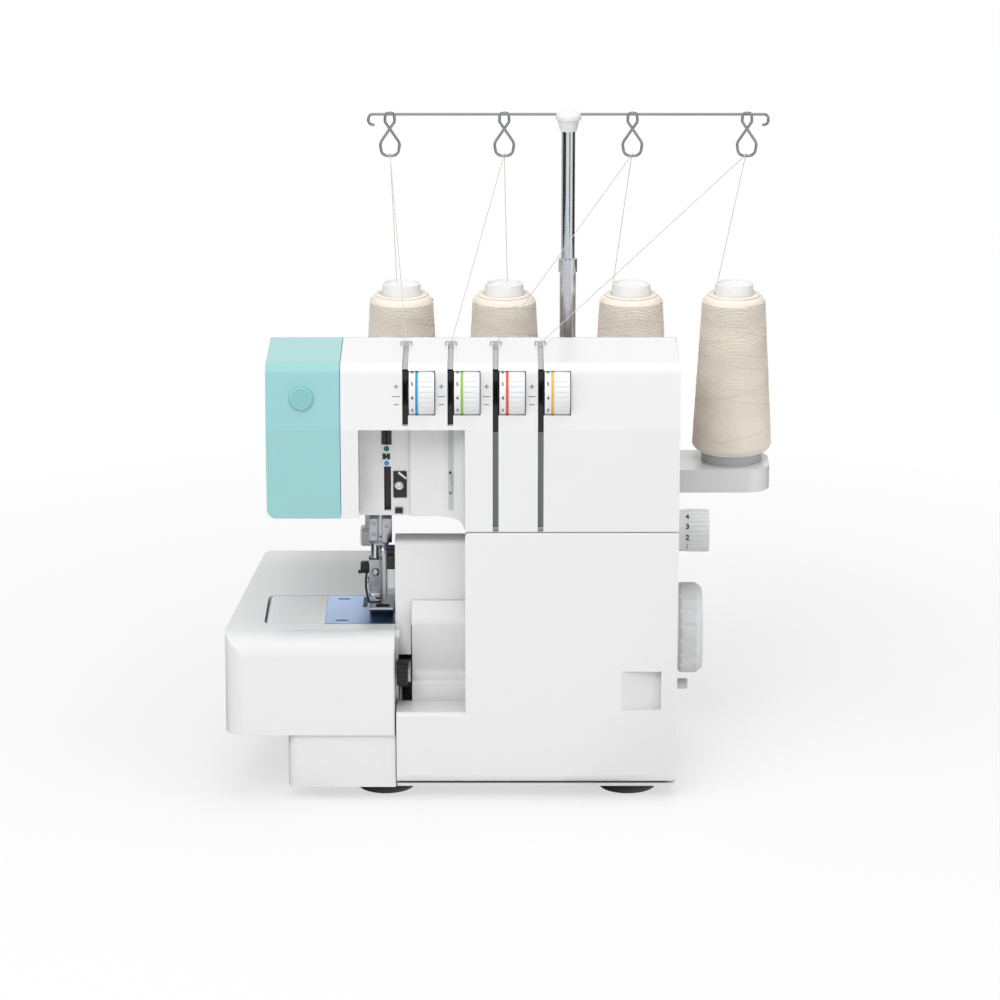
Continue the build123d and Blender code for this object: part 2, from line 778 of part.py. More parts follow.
def looper_cover():
    right, top = column_width, cover_top - seam
    low = cover_low
    face = [(0, low), (right, low), (right, top), (0, top)]
    part = prism_y(face, 0, cover_depth, [0, 5, 1, 3])
    heel = [(cover_depth - cover_heel, low), (cover_depth, low + 1.5 * cover_heel)]
    front = [(0, low), *heel, (cover_depth, top - cover_fall), (hinge_depth + 2, top), (0, top)]
    part &= prism_x(front, -1, right + 1, [corner_round, 2, 2, 0, 0, 1.2])
    hollow = rectangle(wall, cover_depth + 9, low - 9, top - wall)
    inside = prism_y(inset(face, wall), 0, cover_depth + 9, [0, 2.4, 0.5, 0.8])
    inside += block(wall, right - wall - 3, 0, cover_depth + 9, low - 9, low + 9)
    part -= inside & prism_x(hollow, -1, right + 1)
    part -= block(-1, wall + 1, wall, cover_depth + 1, low - 1, ledge_height - wall)
    box = prism_x([(0, low), *heel, (ledge_depth, ledge_height), (0, ledge_height)],
                  -cover_left, wall, [corner_round, 2, 2, 1, 3])
    box -= prism_x([(wall, low - 1), (ledge_depth + 1, low - 1), (ledge_depth + 1, ledge_height - wall),
                    (wall, ledge_height - wall)], -cover_left + wall, wall + 1, [0, 0, 0, 1])
    back = guard_front - seam
    lean = [(ledge_depth, ledge_height - wall), (ledge_depth, riser_height),
            (ledge_depth + trough_depth, riser_height + trough_rise), (scoop_nose, scoop_bend),
            (back, scoop_top), (back, scoop_top - 1.4 * wall), (scoop_nose + wall, scoop_bend - 0.4),
            (ledge_depth + trough_depth + wall, riser_height + trough_rise - 0.2),
            (ledge_depth + wall, riser_height - 1), (ledge_depth + wall, ledge_height - wall)]
    scoop = prism_x(lean, -cover_left + notch_width, 0.5, [0, 1.5, 3.5, 8, 0.5, 0.5, 5, 5.5, 2.5, 0])
    side = prism_x([(cover_depth - 0.5, ledge_height), (cover_depth - 0.5, scoop_bend),
                    (back - 0.3, scoop_top - 1), (scoop_nose + 1.3, scoop_bend),
                    (ledge_depth + trough_depth + 1.3, riser_height + trough_rise),
                    (ledge_depth + 1, riser_height), (ledge_depth + 1, ledge_height)], 0, wall)
    part = part + box + scoop + side
    ramp = [(pull_left, -1), (pull_left + pull_width, -1), (pull_left + pull_width, pull_depth),
            (pull_left + 4, 0.4)]
    end = pull_left + pull_width + wall
    behind = [(pull_left - wall, 0.5), (end, 0.5), (end, pull_depth + wall),
              (pull_left + pull_width * 0.7, pull_depth + wall), (pull_left - wall, wall)]
    part += prism_z(behind, pull_bottom - wall, pull_bottom + pull_height + wall)
    part -= prism_z(ramp, pull_bottom, pull_bottom + pull_height)
    for x in barrels():
        arm = prism_x([(wall / 2, hinge_height - 4), (hinge_depth, hinge_height - barrel_radius + 1),
                       (hinge_depth, hinge_height + barrel_radius - 1), (wall / 2, hinge_height + 6)],
                      x, x + 18)
        arm += rod_x(barrel_radius, x, x + 18, hinge_depth, hinge_height)
        part += arm - rod_x(rod_radius + running, x - 1, x + 19, hinge_depth, hinge_height)
    return part


def barrels():
    return [x + 6.4 for x in hinge_ears()[:2]]


def hinge_rod():
    return rod_x(rod_radius, -32, 118, hinge_depth, hinge_height)


# Needle, presser foot and loopers

def needle_bar():
    return rod_z(needle_bar_radius, clamp_bottom + 4, needle_bar_top, needle_x, needle_y)


def needle_clamp():
    x, y = needle_x, needle_y
    part = prism_z(rectangle(x - clamp_width / 2, x + clamp_width / 2, y - 5, y + clamp_depth - 6),
                   clamp_bottom, clamp_bottom + clamp_height, 1.5)
    part -= rod_z(needle_bar_radius, clamp_bottom + 4, clamp_bottom + clamp_height + 1, x, y)
    part -= block(x - 0.5, x + 0.5, y - 6, y, clamp_bottom + 3, clamp_bottom + clamp_height + 1)
    for dx, dy in needle_places():
        part -= rod_z(1.0, clamp_bottom - 1, clamp_bottom + 3.5, x + dx, y + dy)
    return part


def needle_places():
    return ((-0.6, 0.0), (-0.6 + needle_spread, -needle_stagger))


def needles():
    pieces = []
    for dx, dy in needle_places():
        profile = [(0, needle_tip), (0.25, needle_tip + 2), (0.5, needle_tip + 6), (0.5, clamp_bottom - 10),
                   (1.0, clamp_bottom - 8), (1.0, clamp_bottom + 3), (0, clamp_bottom + 3)]
        pieces.append(Pos(needle_x + dx, needle_y + dy, 0) * turned(profile))
    return Compound(children=pieces)


def presser_bar():
    return rod_z(presser_bar_radius, bed_height + 18, presser_bar_top, presser_x, presser_y)


def presser_foot():
    sole = bed_height + foot_lift
    x0 = presser_x - 3
    x1 = x0 + foot_width
    toe = sole + foot_toe_rise
    bend = needle_y - 10
    strip = [(foot_front, toe), (bend, sole), (foot_back, sole), (foot_back, sole + foot_sole),
             (bend + 0.4, sole + foot_sole), (foot_front, toe + foot_sole)]
    part = prism_x(strip, x0, x1, [0.9, 8, 0.9, 0.9, 6, 0.9])
    part -= prism_z(rectangle(needle_x - 3.5, needle_x + 5.2, needle_y - 6, needle_y + 2.4), sole - 1,
                    sole + foot_sole + 1, 1)
    neck = [(presser_y - 4.2, sole + foot_sole), (presser_y + 5, sole + foot_sole),
            (presser_y + 4.2, bed_height + 30), (presser_y - 4.2, bed_height + 30)]
    part += prism_x(neck, presser_x - 4.2, presser_x + 4.2, [0, 0, 2, 2])
    return part - rod_z(presser_bar_radius, bed_height + 18, bed_height + 40, presser_x, presser_y)


def presser_lifter():
    x0, x1 = lifter_x - 2, lifter_x + 2
    hub = rod_x(6, lifter_x - 3.7, lifter_x + 2.5, lifter_y, lifter_z)
    low = lifter_z - lifter_length
    arm = prism_x([(lifter_y - 4, lifter_z), (lifter_y - 3, low), (lifter_y + 4, low),
                   (lifter_y + 4, lifter_z)], x0, x1, [0, 2, 2, 0])
    knob = prism_x(rectangle(lifter_y - 7, lifter_y + 8, low - 5, low + 7), lifter_x - 5, lifter_x + 5, 4)
    knob = fillet(knob.faces().sort_by(Axis.X)[0].edges() + knob.faces().sort_by(Axis.X)[-1].edges(), 1.5)
    return hub + arm + knob - rod_x(2.5 + running, lifter_x - 5, lifter_x + 6, lifter_y, lifter_z)


def looper(points, rounds, x, y, z, hub):
    blade = prism_y([(x + a, z + b) for a, b in points], y, y + looper_thickness, rounds)
    body = blade + rod_y(hub, y, y + looper_thickness, x, z)
    return body + rod_y(looper_shaft_radius, y + looper_thickness - 0.5, bed_arm_back, x, z)


def upper_looper():
    points = [(-4, -5), (5, 2), (0, 7), (-14, 11), (-28, 16), (-28.5, 14.5), (-15, 6)]
    return looper(points, [2, 2, 4, 12, 0.2, 0.2, 12], upper_looper_x, upper_looper_y, upper_looper_z, 7)


def lower_looper():
    points = [(-5, -3), (5, -4), (10, 14), (31, 22), (31, 23.5), (7, 20)]
    return looper(points, [2, 2, 8, 0.2, 0.2, 8], lower_looper_x, lower_looper_y, lower_looper_z, 7)


# Tension units, dials and switches

def ribbed(radius, width, count, groove, plane):
    rim = Circle(radius) - PolarLocations(radius + groove * 0.35, count) * Circle(groove)
    return extrude(plane * rim, amount=width)


def side_plane(x, y, z):
    return Plane(origin=(x, y, z), x_dir=(0, 1, 0), z_dir=(1, 0, 0))


def tension_wheel(i):
    left = wheel_left(i)
    smooth = wheel_width * 0.4
    part = rod_x(wheel_radius - 0.3, left, left + smooth, wheel_depth, wheel_height)
    plane = side_plane(left + smooth, wheel_depth, wheel_height)
    part += ribbed(wheel_radius, wheel_width - smooth - 1.2, rib_count, rib_radius, plane)
    part += rod_x(wheel_radius - 0.3, left + wheel_width - 1.2, left + wheel_width, wheel_depth,
                  wheel_height)
    return part - rod_x(post_radius + running, left - 1, left + wheel_width + 1, wheel_depth, wheel_height)


def tension_bracket():
    back = wheel_depth + wheel_radius + 4
    first, last = grooves[0] - 7, grooves[3] + 24
    part = block(first, last, back, back + 2, wheel_height - 14, wheel_height + 6)
    part += block(30, 60, back, frame_front + 8, arm_high, arm_high + 2)
    part += block(30, 60, back, back + 2, arm_high, wheel_height - 10)
    for i, x in enumerate(grooves):
        ear = x - groove_width / 2 - 4.6
        part += prism_x(rectangle(wheel_depth - 5, back + 1, wheel_height - 5, wheel_height + 5),
                        ear, ear + 2, [4.9, 0, 0, 4.9])
        part += rod_x(post_radius, ear + 1, wheel_left(i) + wheel_width + 0.5, wheel_depth, wheel_height)
    return part


def tension_discs():
    pieces = []
    for x in grooves:
        for side in (-1, 1):
            profile = [(post_radius + 0.02, 0.2), (disc_radius - 1.5, 0.2), (disc_radius, 0.9),
                       (disc_radius, 1.3), (disc_radius - 1.5, 0.7), (post_radius + 0.02, 0.7)]
            disc = turned([(r, side * t) for r, t in profile])
            pieces.append(Pos(x, wheel_depth, wheel_height) * Rot(0, 90, 0) * disc)
    return Compound(children=pieces)


def channel_liners():
    pieces = []
    half = groove_width / 2
    for x in grooves[2:]:
        pieces.append(block(x - half, x + half, groove_depth - liner_thickness, groove_depth,
                            cover_top + wall, panel_bottom - 2))
    return Compound(children=pieces)


def thread_guides():
    pieces = []
    y, z, reach = guide_y(), guide_height(), guide_reach()
    for x in grooves:
        path = FilletPolyline((x - reach, y, z - 2), (x - reach, y, z + 2.4), (x + reach, y, z + 2.4),
                              (x + reach, y, z - 2), radius=[1.4, 1.4])
        pieces.append(tube(path, guide_radius))
    return Compound(children=pieces)


def stitch_length_dial():
    start = column_width + 0.4
    knob = rod_x(length_dial_radius - 0.3, start, start + 8, shaft_y, length_dial_z)
    rim = ribbed(length_dial_radius, length_dial_outer - start - 8, 28, 0.8,
                 side_plane(start + 8, shaft_y, length_dial_z))
    rim = chamfer(rim.faces().sort_by(Axis.X)[-1].outer_wire().edges(), 0.5)
    return knob + rim + rod_x(5, column_width - 12, start + 1, shaft_y, length_dial_z)


def differential_lever():
    peg_z = lever_z - lever_length
    x0, x1 = column_width - wall - 5.6, column_width - wall - 0.4
    part = rod_x(5, x0, x1, shaft_y, lever_z)
    part += prism_x([(shaft_y - 4, lever_z), (shaft_y - 3.5, peg_z - 2), (shaft_y + 3.5, peg_z - 2),
                     (shaft_y + 4, lever_z)], x0, x1, [0, 2, 2, 0])
    peg = turned([(0, 0), (3.4, 0), (3.4, lever_outer - x0), (0, lever_outer - x0)], [0, 0, 1, 0])
    part += Pos(x0, shaft_y, peg_z) * Rot(0, 90, 0) * peg
    return part - rod_x(2 + running, x0 - 1, x1 + 1, shaft_y, lever_z)


def power_panel():
    y0, y1, z0, z1 = inlet_box()
    s0, s1, t0, t1 = switch_box()
    right = column_width + 1
    part = prism_x(rectangle(y0 - 3, y1 + 3, z0 - 3, t1 + 3), column_width, right, 3)
    part += prism_x(rectangle(y0 + 0.1, y1 - 0.1, z0 + 0.1, z1 - 0.1), column_width - 15, right, 2)
    part += prism_x(rectangle(s0 + 0.1, s1 - 0.1, t0 + 0.1, t1 - 0.1), column_width - 14, right)
    part -= prism_x(rectangle(y0 + 2.5, y1 - 2.5, z0 + 2.5, z1 - 2.5), column_width - 12, right + 1, 3)
    part -= prism_x(rectangle(s0 + 1, s1 - 1, t0 + 1, t1 - 1), column_width - 12, right + 1)
    for y in (-6, 0, 6):
        part += rod_x(1.1, column_width - 13, column_width - 3, (y0 + y1) / 2 + y, (z0 + z1) / 2)
    return part + rod_y(1.5, s0 + 0.5, s1 - 0.5, column_width - 4, (t0 + t1) / 2)


def power_switch():
    y0, y1, z0, z1 = switch_box()
    middle = (z0 + z1) / 2
    top = column_width + 2.0
    rocker = [(top - 9, middle - 2.8), (top - 5, z0 + 2.2), (top, z0 + 2.2), (top - 1.0, middle),
              (top, z1 - 2.2), (top - 5, z1 - 2.2), (top - 9, middle + 2.8)]
    part = prism_y(rocker, y0 + 1.4, y1 - 1.4, [1, 1, 0.6, 6, 0.6, 1, 1])
    return part - rod_y(1.5 + running, y0, y1, column_width - 4, middle)


# Thread stand, cones and tree

def spools():
    return [pole_x - outer_spool, pole_x - inner_spool, pole_x + inner_spool, pole_x + outer_spool]


def spool_stand():
    plan = rectangle(pole_x - stand_half, pole_x + stand_half, stand_front, stand_back)
    part = prism_z(plan, stand_bottom, stand_top, stand_round)
    part -= prism_z(inset(plan, wall), stand_bottom - 1, stand_top - wall, stand_round - wall)
    part += prism_z(rectangle(pole_x - 40, pole_x + 40, housing_depth, stand_front + 3),
                    stand_bottom, stand_top, [0, 0, 1, 1])
    for x in spools():
        part += rod_z(6, stand_bottom, stand_top - 1, x, spool_y)
        part -= rod_z(pin_radius, stand_bottom - 1, stand_top + 1, x, spool_y)
    part += rod_z(lower_tube_radius + 4, stand_bottom, stand_top + 6, pole_x, spool_y)
    return part - rod_z(lower_tube_radius, stand_bottom - 1, stand_top + 7, pole_x, spool_y)


def on_spools(piece):
    return Compound(children=[Pos(x, spool_y, 0) * piece for x in spools()])


def spool_pins():
    profile = [(0, stand_bottom), (pin_radius, stand_bottom), (pin_radius, pin_top), (0, pin_top)]
    return on_spools(turned(profile, [0, 0, 1.5, 0]))


def core_radius(z):
    share = (z - stand_top - 4) / (core_top - stand_top - 4)
    return core_bottom_radius + (core_top_radius - core_bottom_radius) * share


def cone_holder():
    low = stand_top
    z1 = low + holder_height
    z2 = low + 30
    inside = core_wall + 0.3
    cup = core_bottom_radius + 0.5
    profile = [(pin_radius + running, low), (holder_radius, low), (holder_radius, z1), (cup, z1),
               (cup, low + 3.7), (core_radius(low + 4) - inside, low + 3.7),
               (core_radius(z2) - inside, z2), (pin_radius + running, z2)]
    return turned(profile)


def cone_core():
    low = stand_top + 4
    profile = [(core_radius(low) - core_wall, low), (core_radius(low), low),
               (core_radius(core_top), core_top), (core_radius(core_top) - core_wall, core_top)]
    return turned(profile)


def thread_cone():
    profile = [(core_radius(cone_bottom) + 0.02, cone_bottom), (cone_bottom_radius, cone_bottom),
               (cone_top_radius, cone_top), (core_radius(cone_top) + 0.02, cone_top)]
    return turned(profile, [0, 6, 4.5, 0])


def pole_lower_tube():
    bore = upper_tube_radius + running
    part = rod_z(lower_tube_radius, stand_bottom, lower_tube_top, pole_x, spool_y)
    part += rod_z(lower_tube_radius + 0.9, lower_tube_top - 9, lower_tube_top, pole_x, spool_y)
    return part - rod_z(bore, stand_bottom - 1, lower_tube_top + 1, pole_x, spool_y)


def pole_upper_tube():
    return rod_z(upper_tube_radius, upper_tube_low, bar_height + 2, pole_x, spool_y)


def tree_cap():
    low = bar_height - 10
    profile = [(0, low), (5.4, low), (7.2, bar_height - 3), (8.4, bar_height - 2), (8.4, bar_height + 1.5),
               (0, bar_height + cap_rise)]
    part = Pos(pole_x, spool_y, 0) * turned(profile, [0, 0.5, 1, 1, 2, 0])
    part -= rod_z(upper_tube_radius, low - 1, bar_height + 2, pole_x, spool_y)
    return part - rod_x(wire_radius + running, pole_x - 20, pole_x + 20, spool_y + bar_set(), bar_height)


def bar_set():
    return upper_tube_radius + wire_radius


def eyelets():
    return [pole_x - eyelet_outer, pole_x - eyelet_inner, pole_x + eyelet_inner, pole_x + eyelet_outer]


def guide_bar():
    y = spool_y + bar_set()
    part = rod_x(wire_radius, pole_x - bar_reach, pole_x + bar_reach, y, bar_height)
    for side in (-1, 1):
        x = pole_x + side * bar_reach
        hook = FilletPolyline((x - side * 2, y, bar_height), (x + side * 4, y, bar_height),
                              (x + side * 4, y, bar_height - 7), (x, y, bar_height - 7), radius=[3, 3])
        part += tube(hook, wire_radius)
    half, ring = eyelet_width / 2, eyelet_ring / 2
    high, low, y = bar_height + 1.2, bar_height - eyelet_drop, eyelet_plane()
    for x in eyelets():
        for side in (-1, 1):
            loop = FilletPolyline((x, y, high), (x - side * ring, y, high),
                                  (x - side * ring * 1.1, y, high - eyelet_ring),
                                  (x + side * half, y, low + 8.5), (x + side * half * 0.8, y, low),
                                  (x, y, low), radius=[2.3, 2.3, 5, 4.5])
            part += tube(loop, wire_radius)
    return part


def eyelet_plane():
    return spool_y + bar_set() - 2 * wire_radius + 0.2


def thread(i):
    ring = Vector(eyelets()[i], eyelet_plane(), bar_height - eyelet_drop)
    leave = (-3, 2, -12, -11)[i]
    start = Vector(spools()[i] + leave, spool_y, core_top + 0.3)
    finish = Vector(grooves[i], guide_y() + 1, guide_height() + 1.0)
    lift = wire_radius + thread_radius + 0.35
    behind = ring + Vector(0, lift, lift)
    ahead = ring + Vector(0, -lift, lift)
    turns = []
    points = [start, behind, ahead, finish]
    for a, b, c in zip(points, points[1:], points[2:]):
        turn = math.radians((b - a).get_angle(c - b))
        room = (ahead - behind).length * 0.48
        turns.append(room / math.tan(turn / 2))
    print("thread", i + 1, "radii", [round(r, 2) for r in turns])
    return tube(FilletPolyline(*points, radius=turns), thread_radius)


# Placing and writing

def main():
    os.makedirs("parts", exist_ok=True)
    left, right = -table_left, pole_x + outer_spool + cone_bottom_radius
    front, back = wheel_depth - wheel_radius, spool_y + cone_bottom_radius
    place = Pos(-(left + right) / 2, -(front + back) / 2, 0)
    shell = housing_shell()
    pieces = {
        "base_tray": base_tray(), "rubber_feet": rubber_feet(), "main_frame": main_frame(),
        "front_housing": front_housing(shell), "rear_housing": rear_housing(shell),
        "face_cover": face_cover(shell), "face_cap": face_cap(), "free_arm": free_arm(),
        "stitch_plate": stitch_plate(), "bed_cover": bed_cover(), "lower_knife": lower_knife(),
        "bar_bushes": bar_bushes(), "shaft_bushes": shaft_bushes(), "main_shaft": main_shaft(),
        "drive_pulley": drive_pulley(), "hand_wheel": hand_wheel(), "motor": motor(),
        "motor_pulley": motor_pulley(), "drive_belt": drive_belt(), "feed_dogs": feed_dogs(),
        "upper_knife": upper_knife(), "knife_holder": knife_holder(), "cutting_width_wheel": thumb_wheel(),
        "extension_table": extension_table(), "looper_cover": looper_cover(),
        "cover_hinge_rod": hinge_rod(),
        "needle_bar": needle_bar(), "needle_clamp": needle_clamp(), "needles": needles(),
        "presser_bar": presser_bar(), "presser_foot": presser_foot(), "presser_lifter": presser_lifter(),
        "upper_looper": upper_looper(), "lower_looper": lower_looper(),
        "tension_bracket": tension_bracket(),
        "tension_discs": tension_discs(), "channel_liners": channel_liners(),
        "thread_guides": thread_guides(),
        "stitch_length_dial": stitch_length_dial(), "differential_lever": differential_lever(),
        "power_panel": power_panel(), "power_switch": power_switch(),
        "spool_stand": spool_stand(), "spool_pins": spool_pins(), "cone_holders": on_spools(cone_holder()),
        "cone_cores": on_spools(cone_core()), "thread_cones": on_spools(thread_cone()),
        "pole_lower_tube": pole_lower_tube(), "pole_upper_tube": pole_upper_tube(), "tree_cap": tree_cap(),
        "guide_bar": guide_bar(),
    }
    for i in range(4):
        pieces[f"tension_wheel_{i + 1}"] = tension_wheel(i)
        pieces[f"thread_{i + 1}"] = thread(i)
    for name, piece in pieces.items():
        export_step(place * piece, f"parts/{name}.step")


if __name__ == "__main__":
    main()
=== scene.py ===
import bpy
import bmesh
import math
from mathutils import Matrix, Vector


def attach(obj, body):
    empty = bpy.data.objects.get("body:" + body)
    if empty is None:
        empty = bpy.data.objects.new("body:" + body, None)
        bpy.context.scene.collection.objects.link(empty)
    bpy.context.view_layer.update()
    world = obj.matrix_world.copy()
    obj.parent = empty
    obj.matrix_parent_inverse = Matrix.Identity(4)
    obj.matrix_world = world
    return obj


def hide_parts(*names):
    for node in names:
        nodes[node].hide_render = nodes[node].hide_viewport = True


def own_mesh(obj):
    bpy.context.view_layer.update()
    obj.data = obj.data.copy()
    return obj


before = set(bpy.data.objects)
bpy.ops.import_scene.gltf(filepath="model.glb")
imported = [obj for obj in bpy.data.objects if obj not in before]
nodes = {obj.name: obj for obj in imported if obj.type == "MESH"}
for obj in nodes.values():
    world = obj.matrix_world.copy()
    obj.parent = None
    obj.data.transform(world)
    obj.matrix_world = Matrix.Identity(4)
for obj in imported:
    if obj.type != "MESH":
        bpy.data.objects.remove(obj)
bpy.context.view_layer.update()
scene = bpy.context.scene
scene.view_settings.view_transform = "Standard"
print("stage: frame loaded,", len(nodes), "nodes")

# sizes below are millimetres from the column's left front corner on the floor
datum = dict(x=25.25, y=114.7)


def at(x, y, z):
    return Vector(((x - datum["x"]) / 1000, (y - datum["y"]) / 1000, z / 1000))


# shader helpers
def joinUp(tree, source, target):
    tree.links.new(source, target)


def addNode(tree, kind, **values):
    node = tree.nodes.new(kind)
    for key, value in values.items():
        setattr(node, key, value)
    return node


def skinGroup(name, inputs):
    tree = bpy.data.node_groups.new(name, "ShaderNodeTree")
    for label, (kind, value) in inputs.items():
        socket = tree.interface.new_socket(label, in_out="INPUT", socket_type="NodeSocket" + kind)
        socket.default_value = value
    for label, kind in (("Color", "Color"), ("Roughness", "Float"), ("Height", "Float")):
        tree.interface.new_socket(label, in_out="OUTPUT", socket_type="NodeSocket" + kind)
    return tree, tree.nodes.new("NodeGroupInput"), tree.nodes.new("NodeGroupOutput")


def setOrJoin(tree, value, socket):
    if isinstance(value, (int, float)):
        socket.default_value = value
    else:
        joinUp(tree, value, socket)


def scaledNoise(tree, vector, scale, detail=3.0, rough=0.55):
    noise = addNode(tree, "ShaderNodeTexNoise")
    noise.inputs["Detail"].default_value = detail
    noise.inputs["Roughness"].default_value = rough
    joinUp(tree, vector, noise.inputs["Vector"])
    setOrJoin(tree, scale, noise.inputs["Scale"])
    return noise.outputs["Fac"]


def spread(tree, value, low, high, start=0.3, end=0.7):
    ramp = addNode(tree, "ShaderNodeMapRange")
    ramp.inputs["From Min"].default_value = start
    ramp.inputs["From Max"].default_value = end
    setOrJoin(tree, low, ramp.inputs["To Min"])
    setOrJoin(tree, high, ramp.inputs["To Max"])
    joinUp(tree, value, ramp.inputs["Value"])
    return ramp.outputs["Result"]


def doMath(tree, operation, a, b):
    node = addNode(tree, "ShaderNodeMath", operation=operation)
    setOrJoin(tree, a, node.inputs[0])
    setOrJoin(tree, b, node.inputs[1])
    return node.outputs[0]


def shaded(tree, colour, value):
    node = addNode(tree, "ShaderNodeHueSaturation")
    joinUp(tree, colour, node.inputs["Color"])
    joinUp(tree, value, node.inputs["Value"])
    return node.outputs[0]


def fillRamp(ramp, ends, stops):
    points = ramp.color_ramp.elements
    for k in (0, 1):
        points[k].position = float(k)
        points[k].color = (ends, ends, ends, 1)
    for position, colour in stops:
        points.new(position).color = colour


# moulded plastic: fine grain, with mottling, dust and uneven gloss where a finish asks for them
skinLooks = dict(broadScale=9.0, smearScale=45.0, levelFrom=0.6, dustColour=(0.62, 0.60, 0.56, 1))


def buildMouldedSkin(s):
    tree, into, out = skinGroup("mouldedSkin", {
        "Colour": ("Color", (0.8, 0.8, 0.8, 1)), "Mottle": ("Float", 0.03), "Grain": ("Float", 1600.0),
        "Gloss": ("Float", 0.3), "Dust": ("Float", 0.05), "Wander": ("Float", 0.016)})
    where = addNode(tree, "ShaderNodeTexCoord").outputs["Object"]
    grain = scaledNoise(tree, where, into.outputs["Grain"], detail=2.0)
    broad = scaledNoise(tree, where, s["broadScale"], detail=1.0, rough=0.4)
    smear = scaledNoise(tree, where, s["smearScale"], detail=1.0, rough=0.4)
    shade = doMath(tree, "SUBTRACT", 1.0, doMath(tree, "MULTIPLY", into.outputs["Mottle"], broad))
    facing = addNode(tree, "ShaderNodeNewGeometry").outputs["Normal"]
    split = addNode(tree, "ShaderNodeSeparateXYZ")
    joinUp(tree, facing, split.inputs[0])
    level = spread(tree, split.outputs["Z"], 0.0, into.outputs["Dust"], s["levelFrom"], 1.0)
    dust = doMath(tree, "MULTIPLY", level, spread(tree, smear, 0.0, 1.0))
    tint = addNode(tree, "ShaderNodeMix", data_type="RGBA", blend_type="MIX")
    clean, dusty = tint.inputs[6], tint.inputs[7]  # the node's two colour sockets
    dusty.default_value = s["dustColour"]
    joinUp(tree, dust, tint.inputs[0])
    joinUp(tree, shaded(tree, into.outputs["Colour"], shade), clean)
    joinUp(tree, tint.outputs[2], out.inputs["Color"])
    wander = doMath(tree, "MULTIPLY", doMath(tree, "SUBTRACT", smear, 0.5), into.outputs["Wander"])
    rough = doMath(tree, "ADD", doMath(tree, "ADD", into.outputs["Gloss"], wander), dust)
    joinUp(tree, rough, out.inputs["Roughness"])
    joinUp(tree, grain, out.inputs["Height"])
    return tree


# metal: fine lines along one axis, with clouded colour
lineLooks = dict(lineScale=4.0, cloudScale=90.0, wander=0.25)


def buildBrushedLines(s):
    tree, into, out = skinGroup("brushedLines", {
        "Colour": ("Color", (0.7, 0.7, 0.7, 1)), "Stretch": ("Vector", (40.0, 900.0, 900.0)),
        "Gloss": ("Float", 0.25), "Stain": ("Float", 0.12)})
    where = addNode(tree, "ShaderNodeTexCoord").outputs["Object"]
    scale = addNode(tree, "ShaderNodeVectorMath", operation="MULTIPLY")
    joinUp(tree, where, scale.inputs[0])
    joinUp(tree, into.outputs["Stretch"], scale.inputs[1])
    lines = scaledNoise(tree, scale.outputs[0], s["lineScale"], detail=4.0, rough=0.65)
    cloud = scaledNoise(tree, where, s["cloudScale"], detail=4.0, rough=0.6)
    shade = doMath(tree, "SUBTRACT", 1.0, doMath(tree, "MULTIPLY", into.outputs["Stain"], cloud))
    joinUp(tree, shaded(tree, into.outputs["Colour"], shade), out.inputs["Color"])
    wander = doMath(tree, "MULTIPLY", doMath(tree, "SUBTRACT", lines, 0.5), s["wander"])
    joinUp(tree, doMath(tree, "ADD", into.outputs["Gloss"], wander), out.inputs["Roughness"])
    joinUp(tree, lines, out.inputs["Height"])
    return tree


# thread: fuzz and a slower cloud of shade
twistLooks = dict(base=0.80, fuzz=0.25, cloud=0.12, cloudScale=70.0, rough=(0.7, 0.95))


def buildThreadTwist(s):
    tree, into, out = skinGroup("threadTwist", {
        "Colour": ("Color", (0.8, 0.75, 0.62, 1)), "Pitch": ("Float", 900.0)})
    where = addNode(tree, "ShaderNodeTexCoord").outputs["Object"]
    fuzz = scaledNoise(tree, where, into.outputs["Pitch"])
    cloud = scaledNoise(tree, where, s["cloudScale"])
    uneven = doMath(tree, "ADD", doMath(tree, "MULTIPLY", fuzz, s["fuzz"]),
                    doMath(tree, "MULTIPLY", cloud, s["cloud"]))
    shade = doMath(tree, "ADD", s["base"], uneven)
    joinUp(tree, shaded(tree, into.outputs["Colour"], shade), out.inputs["Color"])
    joinUp(tree, spread(tree, fuzz, *s["rough"]), out.inputs["Roughness"])
    joinUp(tree, fuzz, out.inputs["Height"])
    return tree


mouldedSkin = buildMouldedSkin(skinLooks)
brushedLines = buildBrushedLines(lineLooks)
threadTwist = buildThreadTwist(twistLooks)


def newMaterial(name, group, values, metallic=0.0, bump=0.06, depth=0.0002, **settings):
    material = bpy.data.materials.new(name)
    material.use_nodes = True
    tree = material.node_tree
    shader = tree.nodes["Principled BSDF"]
    shader.inputs["Metallic"].default_value = metallic
    for key, value in settings.items():
        shader.inputs[key.replace("_", " ")].default_value = value
    skin = addNode(tree, "ShaderNodeGroup", node_tree=group)
    for key, value in values.items():
        skin.inputs[key].default_value = value
    joinUp(tree, skin.outputs["Color"], shader.inputs["Base Color"])
    joinUp(tree, skin.outputs["Roughness"], shader.inputs["Roughness"])
    raised = addNode(tree, "ShaderNodeBump")
    raised.inputs["Strength"].default_value = bump
    raised.inputs["Distance"].default_value = depth
    joinUp(tree, skin.outputs["Height"], raised.inputs["Height"])
    joinUp(tree, raised.outputs[0], shader.inputs["Normal"])
    return material


def plastic(name, colour, gloss=0.3, mottle=0.03, grain=500.0, dust=0.02, bump=0.02, wander=0.016,
            **settings):
    values = {"Colour": (*colour, 1), "Mottle": mottle, "Grain": grain, "Gloss": gloss, "Dust": dust,
              "Wander": wander}
    return newMaterial(name, mouldedSkin, values, bump=bump, **settings)


def metal(name, colour, gloss=0.25, stretch=(40, 900, 900), stain=0.12, bump=0.04):
    values = {"Colour": (*colour, 1), "Stretch": stretch, "Gloss": gloss, "Stain": stain}
    return newMaterial(name, brushedLines, values, metallic=1.0, bump=bump)


